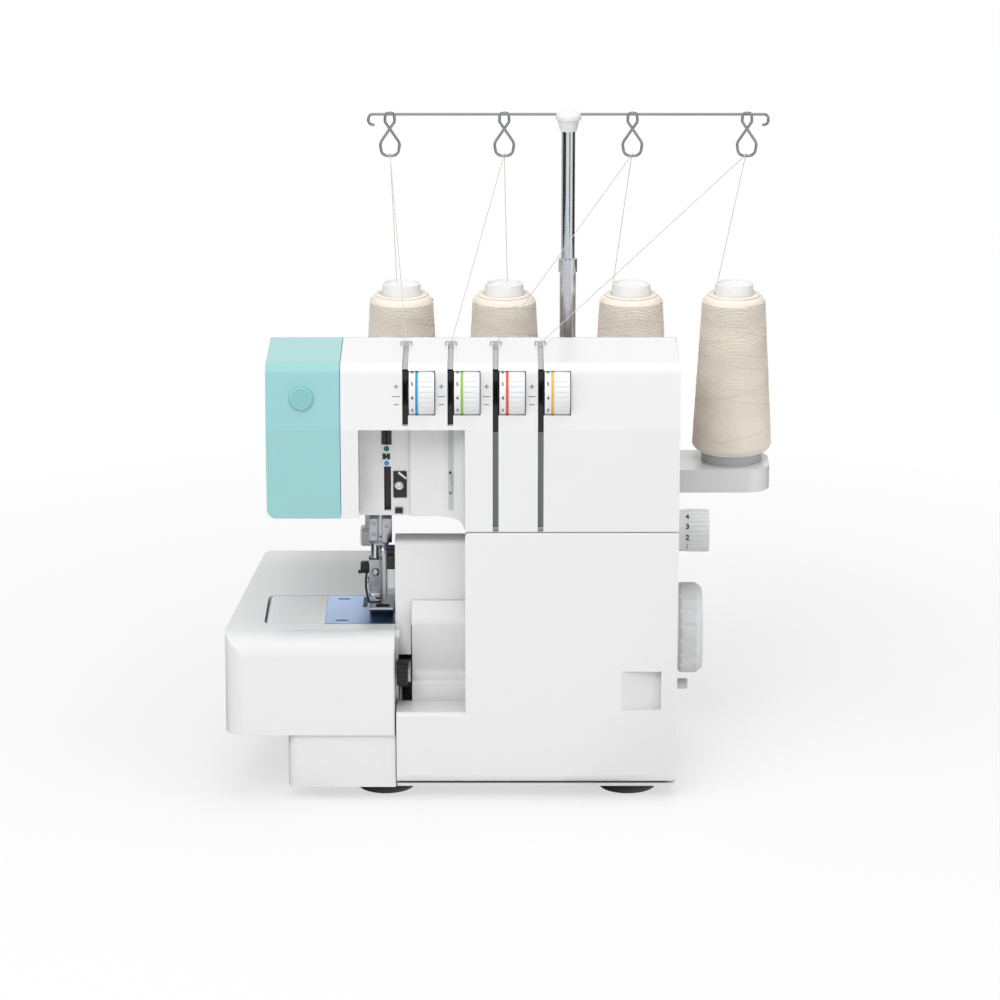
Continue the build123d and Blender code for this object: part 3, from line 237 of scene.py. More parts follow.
def thread(name, colour, **settings):
    return newMaterial(name, threadTwist, {"Colour": (*colour, 1)}, bump=0.3, **settings)


evenSkin = dict(mottle=0.0, grain=3000.0, dust=0.0, bump=0.05, wander=0.0)  # pale walls show any blotch
rubberSkin = dict(mottle=0.2, grain=900.0, dust=0.0, bump=0.2)
allWays, alongX, upright = (300, 300, 300), (60, 900, 900), (900, 900, 60)  # how brushed lines run
finishes = dict(
    white=plastic("whiteMoulding", (0.83, 0.83, 0.83), 0.27, Coat_Weight=0.6, Coat_Roughness=0.18,
                  **evenSkin),
    teal=plastic("tealMoulding", (0.31, 0.60, 0.60), 0.22, Coat_Weight=0.2, Coat_Roughness=0.12,
                 **evenSkin),
    cap=plastic("tealCap", (0.22, 0.53, 0.52), 0.2, 0.02, dust=0.0, Coat_Weight=0.3, Coat_Roughness=0.08),
    dial=plastic("dialMoulding", (0.84, 0.845, 0.85), 0.36, 0.02),
    holder=plastic("holderMoulding", (0.60, 0.62, 0.64), 0.35, 0.03),
    core=plastic("coreMoulding", (0.94, 0.94, 0.935), 0.38, 0.02),
    # dark grey of the channel liners, also used for the groove-end strips as painted shade
    grey=plastic("channelGrey", (0.20, 0.21, 0.22), 0.4, 0.05, dust=0.0),
    # pale grey for painted shade in grooves and channels
    paintedGrooveShade=plastic("grooveShadeGrey", (0.58, 0.59, 0.60), 0.4, 0.04, dust=0.0),
    # black of the black mouldings, also used as painted shade in the groove mouths and stitch-plate slots
    black=plastic("blackMoulding", (0.012, 0.012, 0.013), 0.38, 0.1, dust=0.0, bump=0.08),
    rubber=plastic("footRubber", (0.035, 0.035, 0.037), 0.7, **rubberSkin),
    belt=plastic("beltRubber", (0.02, 0.02, 0.02), 0.75, **rubberSkin),
    ink=plastic("greyInk", (0.16, 0.165, 0.17), 0.6, 0.1, dust=0.0),
    darkInk=plastic("darkInk", (0.03, 0.03, 0.032), 0.55, 0.1, dust=0.0),
    motor=plastic("motorPaint", (0.05, 0.05, 0.055), 0.45, 0.2, dust=0.0),
    blue=plastic("blueLine", (0.02, 0.33, 0.66), 0.45, 0.06, dust=0.0),
    green=plastic("greenLine", (0.30, 0.55, 0.12), 0.45, 0.06, dust=0.0),
    red=plastic("redLine", (0.72, 0.10, 0.05), 0.45, 0.06, dust=0.0),
    yellow=plastic("yellowLine", (0.80, 0.48, 0.05), 0.45, 0.06, dust=0.0),
    deepGreen=plastic("deepGreenSpot", (0.01, 0.16, 0.09), 0.45, 0.06, dust=0.0),
    casting=metal("frameCasting", (0.56, 0.57, 0.58), 0.5, allWays, 0.25, 0.2),
    plate=metal("plateSteel", (0.54, 0.70, 0.98), 0.36, stain=0.06),
    darkSteel=metal("blackenedSteel", (0.035, 0.036, 0.038), 0.45, allWays, 0.2),
    blade=metal("bladeSteel", (0.62, 0.63, 0.65), 0.28, upright, 0.15),
    bright=metal("brightSteel", (0.72, 0.73, 0.75), 0.16, upright, 0.1),
    clamp=metal("clampSteel", (0.52, 0.54, 0.57), 0.3, upright, 0.2),
    pole=metal("poleChrome", (0.70, 0.72, 0.74), 0.14, (900, 900, 30), 0.08),
    wire=metal("wireChrome", (0.40, 0.405, 0.41), 0.16, alongX, 0.1),
    bronze=metal("bushBronze", (0.60, 0.42, 0.20), 0.35, allWays, 0.2),
    # blue steel for the needle collets: painted blue reflection
    paintedBlueReflection=metal("blueReflectionSteel", (0.16, 0.30, 0.46), 0.25, allWays, 0.15),
    thread=thread("creamThread", (0.93, 0.85, 0.745), Sheen_Weight=0.25, Sheen_Roughness=0.5),
    # darker copy of the cream thread for the crossing strands: painted shade
    paintedShadeThread=thread("paintedShadeThread", (0.85, 0.77, 0.665)),
    # the running thread, greyer and darker than the same cream thread on the cones: painted shade on the
    # thin lines
    threadLine=thread("threadLine", (0.64, 0.605, 0.555)),
)

nodeFinish = dict(
    white="base_tray front_housing rear_housing free_arm bed_cover extension_table looper_cover "
          "presser_lifter spool_stand tree_cap",
    teal="face_cover", cap="face_cap", rubber="rubber_feet", casting="main_frame tension_bracket",
    plate="stitch_plate", blade="lower_knife upper_knife upper_looper lower_looper feed_dogs needles",
    bronze="bar_bushes shaft_bushes", motor="motor motor_pulley drive_pulley", belt="drive_belt",
    bright="main_shaft needle_bar presser_bar cover_hinge_rod thread_guides spool_pins",
    darkSteel="tension_discs", clamp="needle_clamp presser_foot", wire="guide_bar",
    pole="pole_lower_tube pole_upper_tube",
    black="knife_holder cutting_width_wheel power_panel power_switch",
    dial="tension_wheel_1 tension_wheel_2 tension_wheel_3 tension_wheel_4 stitch_length_dial hand_wheel "
         "differential_lever",
    grey="channel_liners", holder="cone_holders", core="cone_cores")
for finish, names in nodeFinish.items():
    for name in names.split():
        nodes[name].data.materials.clear()
        nodes[name].data.materials.append(finishes[finish])
print("stage: materials on the CAD nodes")


# mesh helpers
def addPiece(mesh, name, body, finish, sharp=35):
    piece = bpy.data.objects.new(name, mesh)
    scene.collection.objects.link(piece)
    mesh.materials.clear()
    mesh.materials.append(finishes[finish])
    mesh.polygons.foreach_set("use_smooth", [True] * len(mesh.polygons))
    mesh.set_sharp_from_angle(angle=math.radians(sharp))
    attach(piece, body)
    return piece


def meshOf(build, name):
    build.normal_update()
    bmesh.ops.recalc_face_normals(build, faces=build.faces)
    mesh = bpy.data.meshes.new(name)
    build.to_mesh(mesh)
    build.free()
    return mesh


def addBuilt(build, name, body, finish):
    return addPiece(meshOf(build, name), name, body, finish)


def weld(build):
    bmesh.ops.remove_doubles(build, verts=build.verts, dist=1e-6)


def addBlock(build, low, high, bevel=0.0, turn=None):
    verts = bmesh.ops.create_cube(build, size=1)["verts"]
    middle = (low + high) / 2
    for v in verts:
        v.co = Vector([c * (b - a) for a, b, c in zip(low, high, v.co)])
    if bevel:
        edges = list({e for v in verts for e in v.link_edges})
        made = bmesh.ops.bevel(build, geom=edges, offset=bevel, segments=2, affect="EDGES", profile=0.5)
        verts = list({v for f in made["faces"] for v in f.verts})
    for v in verts:
        v.co = (turn @ v.co if turn else v.co) + middle


# a box is x, y and z limits, with a bevel or without; its y counts from the face given
def addBox(build, box, face=0.0, turn=None):
    x0, x1, y0, y1, z0, z1 = box[:6]
    bevel = box[6] / 1000 if len(box) > 6 else 0.0
    addBlock(build, at(x0, face + y0, z0), at(x1, face + y1, z1), bevel, turn)


def addTurned(build, profile, place, steps=32):
    rings = []
    for radius, height in profile:
        count = steps if radius > 1e-6 else 1
        turns = [2 * math.pi * k / steps for k in range(count)]
        spots = [Vector((radius * math.cos(a), radius * math.sin(a), height)) / 1000 for a in turns]
        rings.append([build.verts.new(place @ spot) for spot in spots])
    for a, b in zip(rings, rings[1:]):
        for k in range(steps):
            n = (k + 1) % steps
            corners = [a[k % len(a)], a[n % len(a)], b[n % len(b)], b[k % len(b)]]
            unique = list(dict.fromkeys(corners))  # a pole closes with triangles
            if len(unique) > 2:
                build.faces.new(unique)


def addTube(build, path, radius, sides=8):
    points = [at(*p) for p in path]
    rings = []
    count = len(points)
    side = Vector((0, 0, 1))
    for i, p in enumerate(points):
        along = (points[min(i + 1, count - 1)] - points[max(i - 1, 0)]).normalized()
        if abs(along.dot(side)) > 0.95:
            side = Vector((1, 0, 0)) if abs(along.x) < 0.9 else Vector((0, 1, 0))
        u = (side - along * side.dot(along)).normalized()
        w = along.cross(u)
        side = u
        turns = [2 * math.pi * k / sides for k in range(sides)]
        spots = [p + (u * math.cos(a) + w * math.sin(a)) * (radius / 1000) for a in turns]
        rings.append([build.verts.new(spot) for spot in spots])
    for a, b in zip(rings, rings[1:]):
        for k in range(sides):
            n = (k + 1) % sides
            build.faces.new([a[k], a[n], b[n], b[k]])
    build.faces.new(rings[0])
    build.faces.new(rings[-1])


def bakedMesh(holder):
    graph = bpy.context.evaluated_depsgraph_get()
    return bpy.data.meshes.new_from_object(holder.evaluated_get(graph), depsgraph=graph)


glyphShape = dict(extrude=0.04, weight=0.022, curveSteps=2)


def addGlyph(build, text, size, place):
    curve = bpy.data.curves.new("glyph", "FONT")
    curve.body = text
    curve.size = size
    curve.align_x = "CENTER"
    curve.align_y = "CENTER"
    curve.resolution_u = glyphShape["curveSteps"]
    curve.extrude = glyphShape["extrude"]
    curve.offset = size * glyphShape["weight"]
    holder = bpy.data.objects.new("glyph", curve)
    scene.collection.objects.link(holder)
    mesh = bakedMesh(holder)
    bpy.data.objects.remove(holder)
    start = len(build.verts)
    build.from_mesh(mesh)
    build.verts.ensure_lookup_table()
    for v in build.verts[start:]:
        v.co = place(v.co)
    bpy.data.meshes.remove(mesh)


def facingFront(x, y, z):
    return Matrix.Translation(at(x, y, z)) @ Matrix.Rotation(math.pi / 2, 4, "X")


# screw head in shares of its radius and height: a dome with a round dimple and four low bars
screwShape = dict(head=((0, 0), (1, 0), (1, 0.45), (0.8, 0.85), (0.42, 1), (0.36, 0.55), (0, 0.5)),
                  barLow=(0.36, -0.11, 0.86), barHigh=(0.72, 0.11, 0.97), turn=0.3)


def addScrew(build, place, radius, height, steps=28):
    addTurned(build, [(radius * a, height * b) for a, b in screwShape["head"]], place, steps)
    ends = (screwShape["barLow"], screwShape["barHigh"])
    low, high = (Vector((radius * a, radius * b, height * c)) / 1000 for a, b, c in ends)
    for k in range(4):
        turn = place @ Matrix.Rotation(math.pi / 2 * k + screwShape["turn"], 4, "Z")
        for v in bmesh.ops.create_cube(build, size=1)["verts"]:
            v.co = turn @ Vector([(a + b) / 2 + c * (b - a) for a, b, c in zip(low, high, v.co)])


# camera and light
camera = dict(lens=150.0, sensor=36.0, target=at(21.7, 0, 199.1), distance=2.5833, rise=16.5)
eye = bpy.data.cameras.new("camera")
eye.lens = camera["lens"]
eye.sensor_width = camera["sensor"]
viewer = bpy.data.objects.new("camera", eye)
scene.collection.objects.link(viewer)
rise = math.radians(camera["rise"])
back = Vector((0, -math.cos(rise), math.sin(rise)))
viewer.location = camera["target"] + back * camera["distance"]
viewer.rotation_euler = (-back).to_track_quat("-Z", "Y").to_euler()
scene.camera = viewer

lampAim = Vector((0, 0, 0.15))
lamps = dict(
    key=dict(place=(-0.7, -1.8, 2.0), size=1.3, power=24.5),
    fill=dict(place=(1.5, -1.9, 0.8), size=1.6, power=5.5),
    top=dict(place=(0.3, -0.2, 1.8), size=1.3, power=13.0),
    side=dict(place=(-1.6, -0.9, 1.1), size=1.0, power=6.0))
for name, lamp in lamps.items():
    light = bpy.data.lights.new(name, "AREA")
    light.size = lamp["size"]
    light.energy = lamp["power"]
    light.cycles.max_bounces = 1  # keeps bounced lamp light out of the recesses
    holder = bpy.data.objects.new(name, light)
    scene.collection.objects.link(holder)
    holder.location = lamp["place"]
    holder.visible_glossy = False  # polished pieces mirror the room, not the lamps
    holder.rotation_euler = (lampAim - Vector(lamp["place"])).to_track_quat("-Z", "Y").to_euler()

# white surroundings, with a darker band on each side for polished pieces to mirror
studioSizes = dict(strength=0.5, glossy=0.95, cool=1.02,
                   bands=((0.30, 1.0), (0.42, 0.25), (0.62, 0.2), (0.74, 1.0)))


def makeWorld(s):
    world = bpy.data.worlds.new("studio")
    scene.world = world
    world.use_nodes = True
    tree = world.node_tree
    tree.nodes.clear()
    out = addNode(tree, "ShaderNodeOutputWorld")
    seen = addNode(tree, "ShaderNodeBackground")
    seen.inputs["Color"].default_value = (1, 1, 1, 1)
    room = addNode(tree, "ShaderNodeBackground")
    split = addNode(tree, "ShaderNodeSeparateXYZ")
    joinUp(tree, addNode(tree, "ShaderNodeTexCoord").outputs["Generated"], split.inputs[0])
    wide = addNode(tree, "ShaderNodeMath", operation="ABSOLUTE")
    joinUp(tree, split.outputs["X"], wide.inputs[0])
    ramp = addNode(tree, "ShaderNodeValToRGB")
    joinUp(tree, wide.outputs[0], ramp.inputs["Fac"])
    fillRamp(ramp, 1.0, [(place, (v, v, v * s["cool"], 1)) for place, v in s["bands"]])
    joinUp(tree, ramp.outputs["Color"], room.inputs["Color"])
    path = addNode(tree, "ShaderNodeLightPath")
    shine = doMath(tree, "MULTIPLY", path.outputs["Is Glossy Ray"], s["glossy"] - s["strength"])
    joinUp(tree, doMath(tree, "ADD", shine, s["strength"]), room.inputs["Strength"])
    mix = addNode(tree, "ShaderNodeMixShader")
    joinUp(tree, path.outputs["Is Camera Ray"], mix.inputs["Fac"])
    joinUp(tree, room.outputs[0], mix.inputs[1])
    joinUp(tree, seen.outputs[0], mix.inputs[2])
    joinUp(tree, mix.outputs[0], out.inputs["Surface"])


# pale floor that fades to white for the camera; in reflections the floor glows with dark bands by bearing
# in degrees, a painted reflection for polished metal
floorSizes = dict(half=9.0, colour=(0.9, 0.9, 0.9, 1), nearShare=0.62, fade=(0.28, 0.75), behind=0.5,
                  reflectedBands=((-112, 0.6), (-102, 0.03), (-44, 0.03), (-34, 1.0), (16, 1.0), (20, 0.05),
                         (33, 0.05), (38, 1.0), (70, 1.0), (86, 0.03), (130, 0.03), (150, 0.5)))


def makeFloor(s):
    build = bmesh.new()
    bmesh.ops.create_grid(build, x_segments=1, y_segments=1, size=s["half"])
    mesh = meshOf(build, "floor")
    floor = bpy.data.objects.new("floor", mesh)
    scene.collection.objects.link(floor)
    material = bpy.data.materials.new("paleFloor")
    material.use_nodes = True
    tree = material.node_tree
    tree.nodes.clear()
    out = addNode(tree, "ShaderNodeOutputMaterial")
    matt = addNode(tree, "ShaderNodeBsdfDiffuse")
    matt.inputs["Color"].default_value = s["colour"]
    glow = addNode(tree, "ShaderNodeEmission")
    path = addNode(tree, "ShaderNodeLightPath")
    seen, mirrored = path.outputs["Is Camera Ray"], path.outputs["Is Glossy Ray"]
    where = addNode(tree, "ShaderNodeTexCoord").outputs["Object"]
    split = addNode(tree, "ShaderNodeSeparateXYZ")
    joinUp(tree, where, split.inputs[0])
    toFront = doMath(tree, "MULTIPLY", split.outputs["Y"], -1.0)
    bearing = doMath(tree, "ARCTAN2", split.outputs["X"], toFront)
    # glow seen only in reflections, darker in bands by bearing: painted reflection
    reflectedBands = addNode(tree, "ShaderNodeValToRGB")
    joinUp(tree, spread(tree, bearing, 0.0, 1.0, -math.pi, math.pi), reflectedBands.inputs["Fac"])
    fillRamp(reflectedBands, s["behind"], [(0.5 + degrees / 360, (v, v, v, 1)) for degrees, v in s["reflectedBands"]])
    joinUp(tree, doMath(tree, "MAXIMUM", seen, reflectedBands.outputs["Color"]), glow.inputs["Color"])
    reach = addNode(tree, "ShaderNodeVectorMath", operation="LENGTH")
    joinUp(tree, where, reach.inputs[0])
    share = spread(tree, reach.outputs["Value"], s["nearShare"], 1.0, *s["fade"])
    share = doMath(tree, "MAXIMUM", share, mirrored)
    rays = doMath(tree, "MAXIMUM", seen, mirrored)
    mix = addNode(tree, "ShaderNodeMixShader")
    joinUp(tree, doMath(tree, "MULTIPLY", rays, share), mix.inputs["Fac"])
    joinUp(tree, matt.outputs[0], mix.inputs[1])
    joinUp(tree, glow.outputs[0], mix.inputs[2])
    joinUp(tree, mix.outputs[0], out.inputs["Surface"])
    mesh.materials.append(material)


makeWorld(studioSizes)
makeFloor(floorSizes)
print("stage: camera, light and floor")

# threads from the cones over the wire eyelets to the guides, coloured darker than the wound thread as
# painted shade
threadSizes = dict(diameter=0.5, coneY=206.0, coneTop=288.1, guideY=49.0, guideZ=286.75, ringY=209.8,
                   ringZ=372.6, lift=1.5, rear=3.4, bend=6, travel=75.0,
                   cones=(-43.5, 24.5, 108.5, 176.5), leave=(-3, 2, -12, -11),
                   rings=(-50.5, 24.5, 108.5, 183.5), grooves=(-36.8, -8.9, 19.0, 46.9))


def makeThread(i, s):
    ring = Vector((s["rings"][i], s["ringY"], s["ringZ"]))
    start = Vector((s["cones"][i] + s["leave"][i], s["coneY"], s["coneTop"]))
    finish = Vector((s["grooves"][i], s["guideY"], s["guideZ"]))
    behind = ring + Vector((0, s["rear"], s["lift"]))
    ahead = ring + Vector((0, -s["lift"], s["lift"]))
    near = behind + (start - behind).normalized() * s["bend"] * s["diameter"]
    past = ahead + (finish - ahead).normalized() * s["bend"] * s["diameter"]
    route = [at(*p) for p in (start, near, behind, ahead, past, finish)]
    curve = bpy.data.curves.new("threadRoute", "CURVE")
    curve.dimensions = "3D"
    curve.resolution_u = 16
    spline = curve.splines.new("NURBS")
    spline.points.add(len(route) - 1)
    for point, place in zip(spline.points, route):
        point.co = (*place, 1)
    spline.order_u = 3
    spline.use_endpoint_u = True
    holder = bpy.data.objects.new("threadRoute", curve)
    scene.collection.objects.link(holder)
    line = [v.co.copy() for v in bakedMesh(holder).vertices]
    curve.bevel_depth = s["diameter"] / 2000
    curve.bevel_resolution = 2
    curve.use_fill_caps = True
    mesh = bakedMesh(holder)
    bpy.data.objects.remove(holder)
    piece = addPiece(mesh, "threadLine%d" % (i + 1), "machine", "threadLine", sharp=60)
    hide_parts("thread_%d" % (i + 1))
    length = sum((b - a).length for a, b in zip(line, line[1:]))
    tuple(line[0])
    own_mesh(piece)


for i in range(4):
    makeThread(i, threadSizes)
print("stage: threads")

# wound cones: close turns on a tapered core, with a few crossing strands in a darker thread colour,
# painted shade for the lines between turns
# a strand is its first angle, whether it runs back, and where it starts and ends in shares of the height
coneSizes = dict(x=66.5, y=206.0, inner=42.0, outer=110.0, low=173.6, high=280.5, bottomRadius=26.7,
                 topRadius=20.7, footRound=6, topRound=4.5, roundSteps=6, coreLow=17.2, coreTop=12.95,
                 thread=0.44, turns=104.0, turnSteps=40, seat=0.8, lowGap=4.5, highGap=4.0, topTurns=7.0,
                 topStart=0.8, topEnd=3.4, topSeat=0.6, cross=2.3, crossSteps=48, crossThread=0.6,
                 crossLift=0.3, turnEach=1.7, webHeight=285.6,
                 web=((0, -0.3), (11.58, -0.3), (11.58, 0.4), (9.6, 0.4), (9.2, 0.1), (0, 0.1)),
                 strands=((0.2, False, 0.0, 0.93), (1.1, True, 0.1, 1.0), (2.3, False, 0.22, 0.98),
                          (4.1, True, 0.0, 0.7), (5.2, False, 0.35, 1.0)))


def geometryTree(name, inputs):
    tree = bpy.data.node_groups.new(name, "GeometryNodeTree")
    tree.interface.new_socket("Geometry", in_out="INPUT", socket_type="NodeSocketGeometry")
    for label, value in inputs.items():
        socket = tree.interface.new_socket(label, in_out="INPUT", socket_type="NodeSocketFloat")
        socket.default_value = value
    tree.interface.new_socket("Geometry", in_out="OUTPUT", socket_type="NodeSocketGeometry")
    return tree, tree.nodes.new("NodeGroupInput"), tree.nodes.new("NodeGroupOutput")


def runTree(holder, tree, values):
    modifier = holder.modifiers.new(tree.name, "NODES")
    modifier.node_group = tree
    for item in tree.interface.items_tree:
        if item.in_out == "INPUT" and item.name in values:
            modifier[item.identifier] = values[item.name]
    mesh = bakedMesh(holder)
    bpy.data.objects.remove(holder)
    return mesh


def closeTree(tree, geometry, out, finish):
    real = addNode(tree, "GeometryNodeRealizeInstances")
    coat = addNode(tree, "GeometryNodeSetMaterial")
    coat.inputs["Material"].default_value = finishes[finish]
    joinUp(tree, geometry, real.inputs[0])
    joinUp(tree, real.outputs[0], coat.inputs["Geometry"])
    joinUp(tree, coat.outputs[0], out.inputs["Geometry"])


def windingTree(s, name, finish, crossing):
    thickness = s["thread"] * (s["crossThread"] if crossing else 1.0)
    tree, into, out = geometryTree(name, {
        "Thread": thickness / 1000, "Turns": s["cross"] if crossing else s["turns"],
        "Inner": s["inner"] / 1000, "Outer": s["outer"] / 1000})
    section = addNode(tree, "GeometryNodeCurvePrimitiveCircle")
    section.inputs["Resolution"].default_value = 5
    joinUp(tree, into.outputs["Thread"], section.inputs["Radius"])
    joined = addNode(tree, "GeometryNodeJoinGeometry")
    joinUp(tree, into.outputs["Geometry"], joined.inputs[0])

    def strand(turns, first, last, height, base, steps, reverse=False, start=0.0):
        spiral = addNode(tree, "GeometryNodeCurveSpiral")
        spiral.inputs["Resolution"].default_value = steps
        spiral.inputs["Start Radius"].default_value = first / 1000
        spiral.inputs["End Radius"].default_value = last / 1000
        spiral.inputs["Height"].default_value = height / 1000
        spiral.inputs["Reverse"].default_value = reverse
        setOrJoin(tree, turns, spiral.inputs["Rotations"])
        sweep = addNode(tree, "GeometryNodeCurveToMesh")
        joinUp(tree, spiral.outputs[0], sweep.inputs["Curve"])
        joinUp(tree, section.outputs[0], sweep.inputs["Profile Curve"])
        lift = addNode(tree, "GeometryNodeTransform")
        lift.inputs["Translation"].default_value = (0, 0, base / 1000)
        lift.inputs["Rotation"].default_value = (0, 0, start)
        joinUp(tree, sweep.outputs[0], lift.inputs["Geometry"])
        joinUp(tree, lift.outputs[0], joined.inputs[0])

    slope = (s["topRadius"] - s["bottomRadius"]) / (s["high"] - s["low"])
    seat = s["thread"] * s["seat"]

    def radiusAt(z):
        return s["bottomRadius"] + slope * (z - s["low"]) - seat

    low, high = s["low"] + s["lowGap"], s["high"] - s["highGap"]
    turns = into.outputs["Turns"]
    if crossing:
        for start, reverse, foot, head in s["strands"]:
            base, height = low + foot * (high - low), (head - foot) * (high - low)
            first, last = radiusAt(base) + s["crossLift"], radiusAt(base + height) + s["crossLift"]
            strand(turns, first, last, height, base, s["crossSteps"], reverse, start)
    else:
        strand(turns, radiusAt(low), radiusAt(high), high - low, low, s["turnSteps"])
        strand(s["topTurns"], s["coreTop"] + s["topStart"], radiusAt(high) - s["topEnd"], 0.0,
               s["high"] - seat * s["topSeat"], s["turnSteps"])
    everyCone = addNode(tree, "GeometryNodeJoinGeometry")
    for k, (label, sign) in enumerate((("Outer", -1), ("Inner", -1), ("Inner", 1), ("Outer", 1))):
        across = addNode(tree, "ShaderNodeMath", operation="MULTIPLY_ADD")
        joinUp(tree, into.outputs[label], across.inputs[0])
        across.inputs[1].default_value = sign
        across.inputs[2].default_value = (s["x"] - datum["x"]) / 1000
        place = addNode(tree, "ShaderNodeCombineXYZ")
        joinUp(tree, across.outputs[0], place.inputs[0])
        place.inputs[1].default_value = (s["y"] - datum["y"]) / 1000
        move = addNode(tree, "GeometryNodeTransform")
        move.inputs["Rotation"].default_value = (0, 0, s["turnEach"] * k)
        joinUp(tree, joined.outputs[0], move.inputs["Geometry"])
        joinUp(tree, place.outputs[0], move.inputs["Translation"])
        joinUp(tree, move.outputs[0], everyCone.inputs[0])
    closeTree(tree, everyCone.outputs[0], out, finish)
    return tree


def makeCones(s):
    build = bmesh.new()
    seat = s["thread"]
    low, high, foot, top = s["low"], s["high"], s["footRound"], s["topRound"]
    quarter = [math.radians(90 * k / s["roundSteps"]) for k in range(s["roundSteps"] + 1)]
    under, crown = s["bottomRadius"] - foot - seat, s["topRadius"] - top - seat
    flank = [(s["coreLow"], low), (under, low)]
    flank += [(under + foot * math.sin(a), low + foot - foot * math.cos(a)) for a in quarter]
    flank += [(crown + top * math.cos(a), high - top - seat + top * math.sin(a)) for a in quarter]
    flank += [(s["coreTop"], high - seat), (s["coreLow"], low)]
    addTurned(build, flank, Matrix.Identity(4), steps=64)
    weld(build)
    holder = bpy.data.objects.new("coneWinding", meshOf(build, "coneBody"))
    scene.collection.objects.link(holder)
    mesh = runTree(holder, windingTree(s, "coneWinding", "thread", False), {"Turns": s["turns"]})
    piece = addPiece(mesh, "woundCones", "machine", "thread", sharp=60)
    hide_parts("thread_cones")
    holder = bpy.data.objects.new("crossWinding", bpy.data.meshes.new("crossWinding"))
    scene.collection.objects.link(holder)
    # crossing strands in the darker thread: painted shade between the turns
    mesh = runTree(holder, windingTree(s, "crossWinding", "paintedShadeThread", True), {"Turns": s["cross"]})
    addPiece(mesh, "crossStrands", "machine", "paintedShadeThread", sharp=60)
    build = bmesh.new()
    for offset in (-s["outer"], -s["inner"], s["inner"], s["outer"]):
        place = Matrix.Translation(at(s["x"] + offset, s["y"], s["webHeight"]))
        addTurned(build, s["web"], place, steps=48)
    weld(build)
    addBuilt(build, "coreWebs", "machine", "core")


makeCones(coneSizes)
print("stage: wound cones")

# tension wheels: number strip and colour line
wheelSizes = dict(y=12.7, z=265.2, radius=15.7, first=-36.8, pitch=27.9, groove=3.6, margin=0.6,
                  line=(3.9, 5.6), lineSunk=0.5, lineProud=0.1, digit=3.3, digitX=2.0, digitProud=0.02,
                  digitStep=32, frontDigit=4, colours=("blue", "green", "red", "yellow"))


def grooveX(i):
    return wheelSizes["first"] + wheelSizes["pitch"] * i


def rimPlace(s, x, angle, radius):
    return at(x, s["y"] - radius * math.cos(angle), s["z"] + radius * math.sin(angle))


def dressWheel(i, s):
    left = grooveX(i) + s["groove"] / 2 + s["margin"]
    body = "tension_%d" % (i + 1)
    r = s["radius"]
    build = bmesh.new()
    around = Matrix.Translation(at(left, s["y"], s["z"])) @ Matrix.Rotation(math.pi / 2, 4, "Y")
    near, far = s["line"]
    sunk, proud = r - s["lineSunk"], r + s["lineProud"]
    band = [(sunk, near), (proud, near), (proud, far), (sunk, far), (sunk, near)]
    addTurned(build, band, around, steps=96)
    weld(build)
    addPiece(meshOf(build, "colourLine"), "colourLine%d" % (i + 1), body, s["colours"][i])
    build = bmesh.new()
    for n in range(10):
        turn = math.radians((n - s["frontDigit"]) * s["digitStep"])

        def place(co, turn=turn):
            return rimPlace(s, left + (s["digitX"] + co.x), turn + co.y / r, r + s["digitProud"] + co.z)
        addGlyph(build, str(n), s["digit"], place)
    addPiece(meshOf(build, "dialDigits"), "dialDigits%d" % (i + 1), body, "darkInk")


for i in range(4):
    dressWheel(i, wheelSizes)

# printed marks on the sloped panel beside the wheels
# a bar is the height of its middle, how wide it is and how tall
panel = dict(lean=6 / 40, foot=244.0)
markSizes = dict(x=-5.55, thick=0.08, proud=0.01,
                 bars=((270.7, 3.0, 0.55), (270.7, 0.55, 3.0), (264.6, 4.6, 0.5), (259.7, 3.0, 0.55)))


def panelY(z):
    return panel["lean"] * (z - panel["foot"])


def makeMarks(s):
    build = bmesh.new()
    tilt = Matrix.Rotation(-math.atan(panel["lean"]), 3, "X")
    for i in range(4):
        for z, wide, tall in s["bars"]:
            middle = at(grooveX(i) + s["x"], panelY(z) - s["proud"], z)
            half = Vector((wide, s["thick"], tall)) / 2000
            addBlock(build, middle - half, middle + half, turn=tilt)
    addBuilt(build, "panelMarks", "machine", "ink")


makeMarks(markSizes)
print("stage: dials")

# stitch length dial digits
lengthSizes = dict(x=141.6, y=84.0, z=154.0, radius=13.7, digit=4.9, digitProud=0.03, firstAngle=-34,
                   step=30)


def makeLengthDigits(s):
    build = bmesh.new()
    for n, text in enumerate(("1", "2", "3", "4")):
        angle = math.radians(s["firstAngle"] + s["step"] * n)

        def place(co, angle=angle):
            r = s["radius"]
            return rimPlace(s, s["x"] + co.x, angle + co.y / r, r + s["digitProud"] + co.z)
        addGlyph(build, text, s["digit"], place)
    addBuilt(build, "lengthDigits", "length_dial", "darkInk")


makeLengthDigits(lengthSizes)

# black sheets on the floors of the thread grooves beside the wheels, painted shade of their deep mouths,
# and pale grey skins on their floors on the top, painted shade in the grooves
mouthSizes = dict(width=3.5, depth=3.96, low=(244.2, 244.2, 241.4, 241.4), high=279.4, thick=0.4,
                  front=9.8, back=46.0, edge=6.0, floor=280.04, rise=2.5 / 60, skin=0.26)


def addSlab(build, corners, shift):
    v = [build.verts.new(c) for c in corners + [c + shift for c in corners]]
    for face in ((0, 1, 3, 2), (4, 5, 7, 6), (0, 1, 5, 4), (2, 3, 7, 6), (0, 2, 6, 4), (1, 3, 7, 5)):
        build.faces.new([v[k] for k in face])


